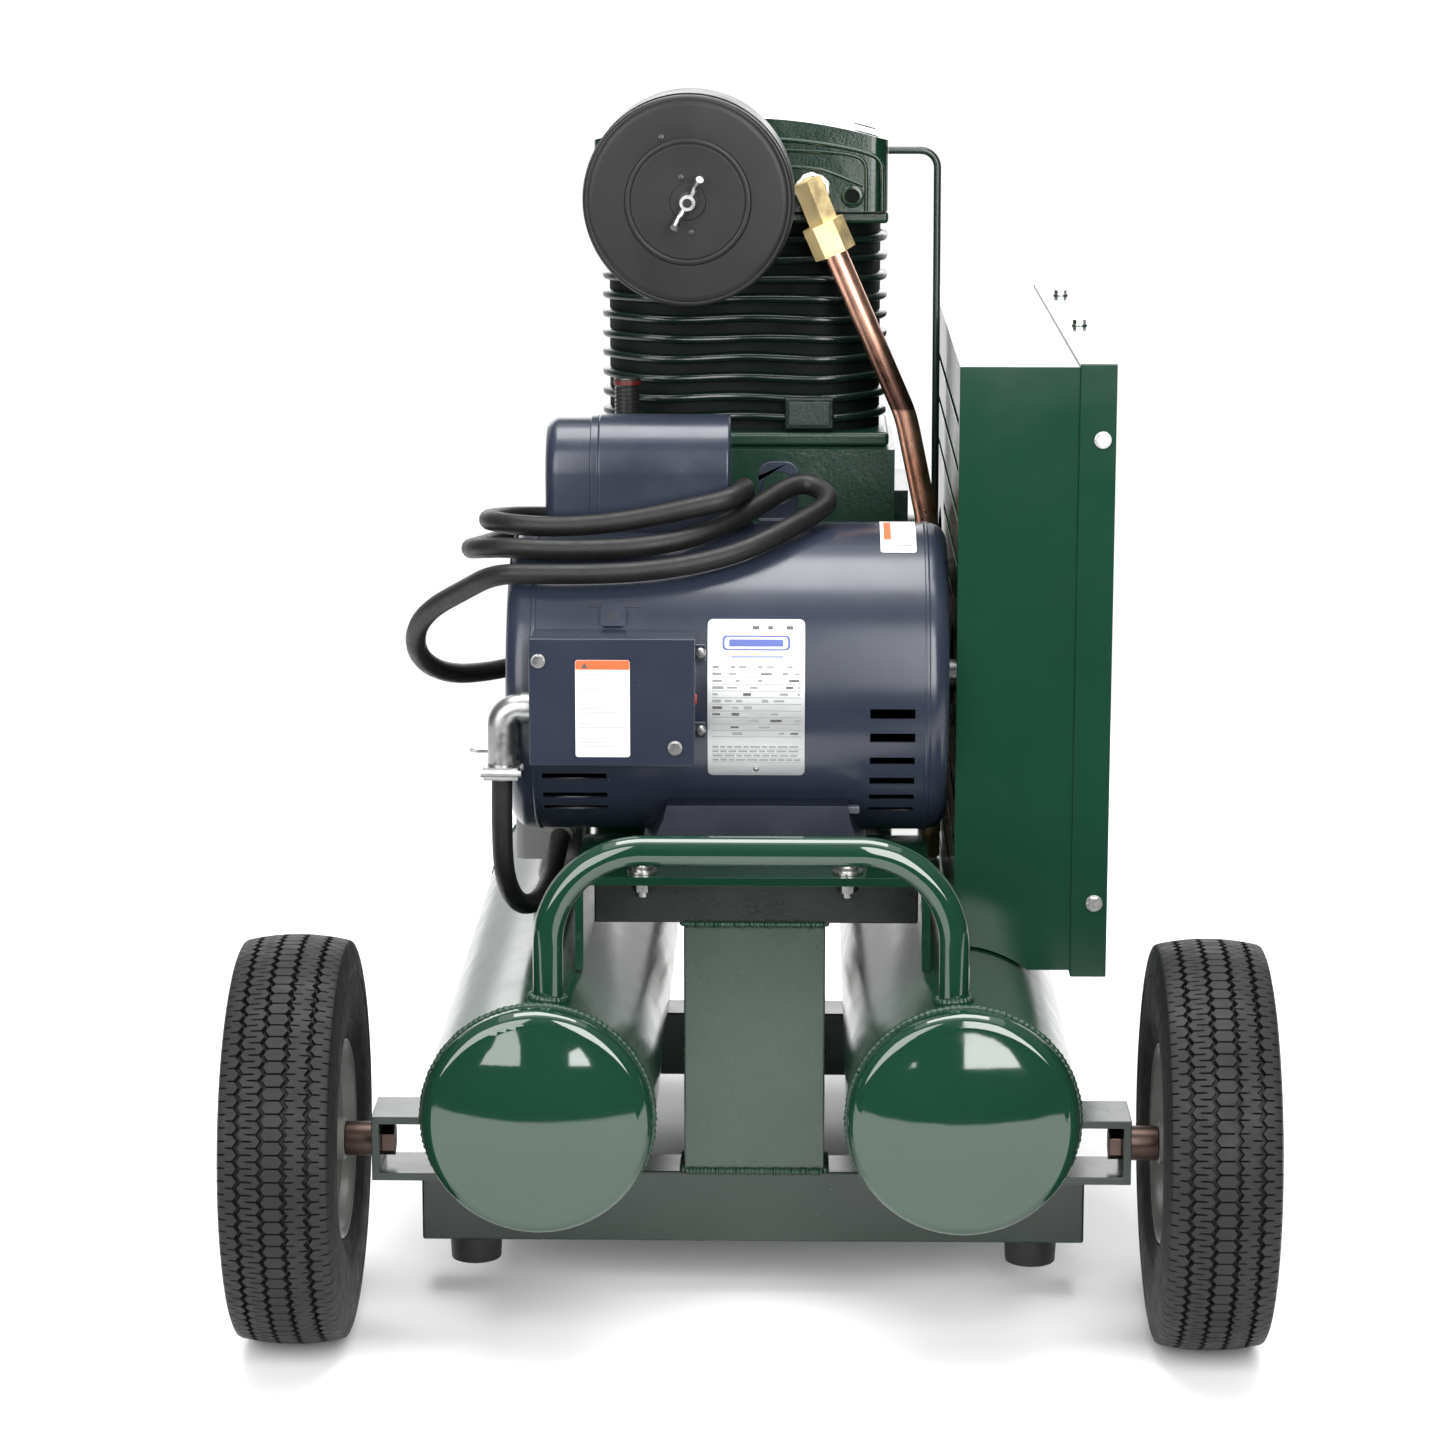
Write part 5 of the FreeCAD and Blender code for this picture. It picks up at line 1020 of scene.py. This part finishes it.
# filter: rolled rims and pressed marks
for k, (h, r0_, w_) in enumerate(((5.5, 67.6, 2.4), (18.5, 69.3, 1.6), (78.0, 69.3, 1.5))):
    link(lathe("filter_roll_%d" % k, [(h + w_ * math.cos(math.radians(a)), r0_ + w_ * math.sin(math.radians(a))) for a in range(0, 360, 30)], (-46, 230, 707), (0, 1, 0), 128),
         FRAME_BODY, M["charcoal"])
link(lathe("filter_step", [(0.9, 38.0), (0.2, 38.6), (-0.2, 40.0), (0.3, 41.6), (1.6, 42.4), (2.6, 41.0), (2.6, 38.6)], (-46, 230, 707), (0, 1, 0), 96), FRAME_BODY, M["charcoal"])
for k, (x, z, y) in enumerate(((-63.6, 749.2, 232.2), (-50.4, 723.0, 230.2), (-43.8, 686.7, 230.2))):
    link(lathe("filter_mark_%d" % k, [(0, 0), (0, 2.6), (0.7, 2.2), (1.1, 1.2), (1.2, 0)], (x, y, z), (0, -1, 0), 24), FRAME_BODY, M["charcoal_dark"])

# ------------------------------------------------------------------ gauge face on the far side
link(lathe("gauge_dial", [(0, 0), (0, 21.6), (0.4, 21.6), (0.4, 0)], (-150, 460.4, 306), (0, 1, 0), 72), FRAME_BODY, M["white"])
for k in range(25):
    an = math.radians(225 - k * 270 / 24)
    l_ = 3.6 if k % 4 == 0 else 1.9
    c_, s_ = math.cos(an), math.sin(an)
    w_ = 0.45 if k % 4 == 0 else 0.25
    # the dial is read from behind the machine, so x runs the other way
    q_ = [(-150 - (r_ * c_ + o_ * s_), 306 + r_ * s_ - o_ * c_) for r_, o_ in ((19.6, -w_), (19.6, w_), (19.6 - l_, w_), (19.6 - l_, -w_))]
    xz_plate("gauge_tick_%02d" % k, q_, 460.75, 461.0, M["ink"])
an = math.radians(225)
xz_plate("gauge_needle", [(-150 - (15.5 * math.cos(an)), 306 + 15.5 * math.sin(an)), (-150 + 4 * math.cos(an) - 0.9 * math.sin(an), 306 - 4 * math.sin(an) - 0.9 * math.cos(an)),
                          (-150 + 4 * math.cos(an) + 0.9 * math.sin(an), 306 - 4 * math.sin(an) + 0.9 * math.cos(an))], 461.2, 461.5, M["red"])
link(lathe("gauge_boss", [(0, 0), (0, 2.4), (1.0, 2.0), (1.2, 0)], (-150, 460.7, 306), (0, 1, 0), 28), FRAME_BODY, M["black"])

# ------------------------------------------------------------------ welds
TX, TZ, TR = 133.0, 158.0, 73.0


def tank_z(x):
    return TZ + math.sqrt(max(0.0, TR ** 2 - (abs(x) - TX) ** 2))


for sx in (-1, 1):
    nm_ = "r" if sx > 0 else "l"
    cxh = 127.0 * sx
    ring = [(cxh + (9.5 + 0.9) * math.cos(t), -25.0 + (9.5 + 0.9) * math.sin(t)) for t in (2 * math.pi * k / 28 for k in range(28))]
    bead("handle_weld_" + nm_, [(x, y, tank_z(x) + 0.8) for x, y in ring], 2.3, True)
    for k, y in enumerate((-43.2, 547.2)):
        bead("head_weld_%s_%d" % (nm_, k), [(TX * sx + (TR - 0.2) * math.cos(t), y, TZ + (TR - 0.2) * math.sin(t)) for t in (2 * math.pi * i / 72 for i in range(72))], 1.7, True, step=2.4)
    for k, (yy0, yy1) in enumerate(((75.0, 113.0), (455.0, 493.0))):
        for e_, y in enumerate((yy0 - 0.6, yy1 + 0.6)):
            bead("saddle_weld_%s_%d_%d" % (nm_, k, e_), [(TX * sx + x, y, TZ - math.sqrt(TR ** 2 - x ** 2) + 0.2) for x in range(-26, 27, 4)], 2.4)
    for e_, y in enumerate((-22.6, 22.6)):
        bead("bracket_weld_%s_%d" % (nm_, e_), [((TX + math.sqrt(TR ** 2 - (TZ - z) ** 2) + 0.6) * sx, y, z) for z in range(110, 152, 4)], 2.2)
bead("post_weld_top", [(-44.5, 74.4, 252.6), (46.5, 74.4, 252.6)], 2.2)
bead("post_weld_foot", [(-44.5, 74.4, 85.4), (46.5, 74.4, 85.4)], 2.4)
for k, x in enumerate((-45.6, 47.6)):
    bead("post_weld_side_%d" % k, [(x, 76.0, 85.4), (x, 112.0, 85.4)], 2.2)
    bead("post_weld_head_%d" % k, [(x, 76.0, 252.6), (x, 112.0, 252.6)], 2.0)
for k, x in enumerate((-96, -40, 18, 74)):
    bead("beam_weld_%d" % k, [(x, 74.6, 285.0), (x + 22, 74.6, 285.0)], 1.9)

# ------------------------------------------------------------------ floor, lights, world
me = bpy.data.meshes.new("floor")
me.from_pydata([(-2.6, -0.95, 0), (2.6, -0.95, 0), (2.6, 1.7, 0), (-2.6, 1.7, 0)], [], [(0, 1, 2, 3)])
floor = bpy.data.objects.new("floor", me)
scene.collection.objects.link(floor)
fm = bpy.data.materials.new("pale_floor")
nt, b = nodes_of(fm)
v = coords(nt)
nt.links.new(ramp(nt, noise(nt, v, 3.0, 4.0), [(0.3, 0.93), (0.75, 0.945)]), b.inputs["Base Color"])
b.inputs["Roughness"].default_value = 0.75
b.inputs["Specular IOR Level"].default_value = 0.2
floor.data.materials.append(fm)


def area(name, loc, target, sx, sy, power, col=(1, 1, 1)):
    li = bpy.data.lights.new(name, "AREA")
    li.shape, li.size, li.size_y, li.energy, li.color = "RECTANGLE", sx, sy, power, col
    ob = bpy.data.objects.new(name, li)
    scene.collection.objects.link(ob)
    ob.location = loc
    ob.rotation_euler = (Vector(target) - Vector(loc)).to_track_quat("-Z", "Y").to_euler()
    return ob


area("overhead_box", (0.0, 0.0, 2.7), (0.0, 0.0, 0.0), 1.9, 1.3, 66)
area("high_fill", (0.0, 0.3, 4.6), (0.0, 0.3, 0.0), 5.0, 5.0, 84)
area("left_box", (-1.62, -2.30, 1.62), (-1.62, 0.0, 1.62), 2.30, 2.40, 96)
area("right_box", (0.84, -2.30, 1.60), (0.84, 0.0, 1.60), 1.28, 2.36, 90)
area("back_box", (0.0, 3.0, 1.5), (0.0, 0.6, 0.2), 3.6, 1.8, 38)
for ob in scene.objects:
    if ob.type == "LIGHT":
        ob.visible_camera = False

world = bpy.data.worlds.new("studio")
scene.world = world
world.use_nodes = True
wn = world.node_tree
wn.nodes.clear()
wo = wn.nodes.new("ShaderNodeOutputWorld")
bg_env, bg_cam, mixs, lp = (wn.nodes.new(t) for t in ("ShaderNodeBackground", "ShaderNodeBackground", "ShaderNodeMixShader", "ShaderNodeLightPath"))
wtc = wn.nodes.new("ShaderNodeTexCoord")
sep = wn.nodes.new("ShaderNodeSeparateXYZ")
wn.links.new(wtc.outputs["Generated"], sep.inputs[0])
mr = wn.nodes.new("ShaderNodeMapRange")
mr.inputs["From Min"].default_value, mr.inputs["From Max"].default_value = -0.2, 1.0
wn.links.new(sep.outputs["Z"], mr.inputs["Value"])
wr = wn.nodes.new("ShaderNodeValToRGB")
for e, (p_, c_) in zip([wr.color_ramp.elements[0], wr.color_ramp.elements[1], wr.color_ramp.elements.new(0.40)], [(0.0, 0.03), (1.0, 0.55), (0.40, 0.10)]):
    e.position, e.color = p_, (c_, c_, c_ * 1.02, 1)
wn.links.new(mr.outputs[0], wr.inputs["Fac"])


def map_range(sock, a, b_, lo, hi):
    n = wn.nodes.new("ShaderNodeMapRange")
    n.interpolation_type = "SMOOTHSTEP"
    for k_, v_ in (("From Min", a), ("From Max", b_), ("To Min", lo), ("To Max", hi)):
        n.inputs[k_].default_value = v_
    wn.links.new(sock, n.inputs["Value"])
    return n.outputs[0]


def calc(op, p_, q_):
    n = wn.nodes.new("ShaderNodeMath")
    n.operation = op
    for sock, val in ((n.inputs[0], p_), (n.inputs[1], q_)):
        if isinstance(val, (int, float)):
            sock.default_value = val
        else:
            wn.links.new(val, sock)
    return n.outputs[0]


# a bright backdrop low behind the object, dark elsewhere
drop = calc("MULTIPLY", map_range(sep.outputs["Y"], 0.42, 0.72, 0.0, 1.0), map_range(sep.outputs["Z"], 0.62, 0.34, 0.0, 1.0))
bg_drop = wn.nodes.new("ShaderNodeBackground")
bg_drop.inputs["Color"].default_value = (1, 1, 1, 1)
wn.links.new(calc("MULTIPLY", drop, 0.9), bg_drop.inputs["Strength"])
adds = wn.nodes.new("ShaderNodeAddShader")
wn.links.new(wr.outputs[0], bg_env.inputs["Color"])
bg_env.inputs["Strength"].default_value = 0.40
wn.links.new(bg_env.outputs[0], adds.inputs[0])
wn.links.new(bg_drop.outputs[0], adds.inputs[1])
bg_cam.inputs["Color"].default_value = (1, 1, 1, 1)
bg_cam.inputs["Strength"].default_value = 1.05
wn.links.new(lp.outputs["Is Camera Ray"], mixs.inputs[0])
wn.links.new(adds.outputs[0], mixs.inputs[1])
wn.links.new(bg_cam.outputs[0], mixs.inputs[2])
wn.links.new(mixs.outputs[0], wo.inputs[0])

scene.view_settings.view_transform = "Standard"
scene.view_settings.look = "None"
scene.view_settings.exposure = 0.0

bpy.context.view_layer.update()
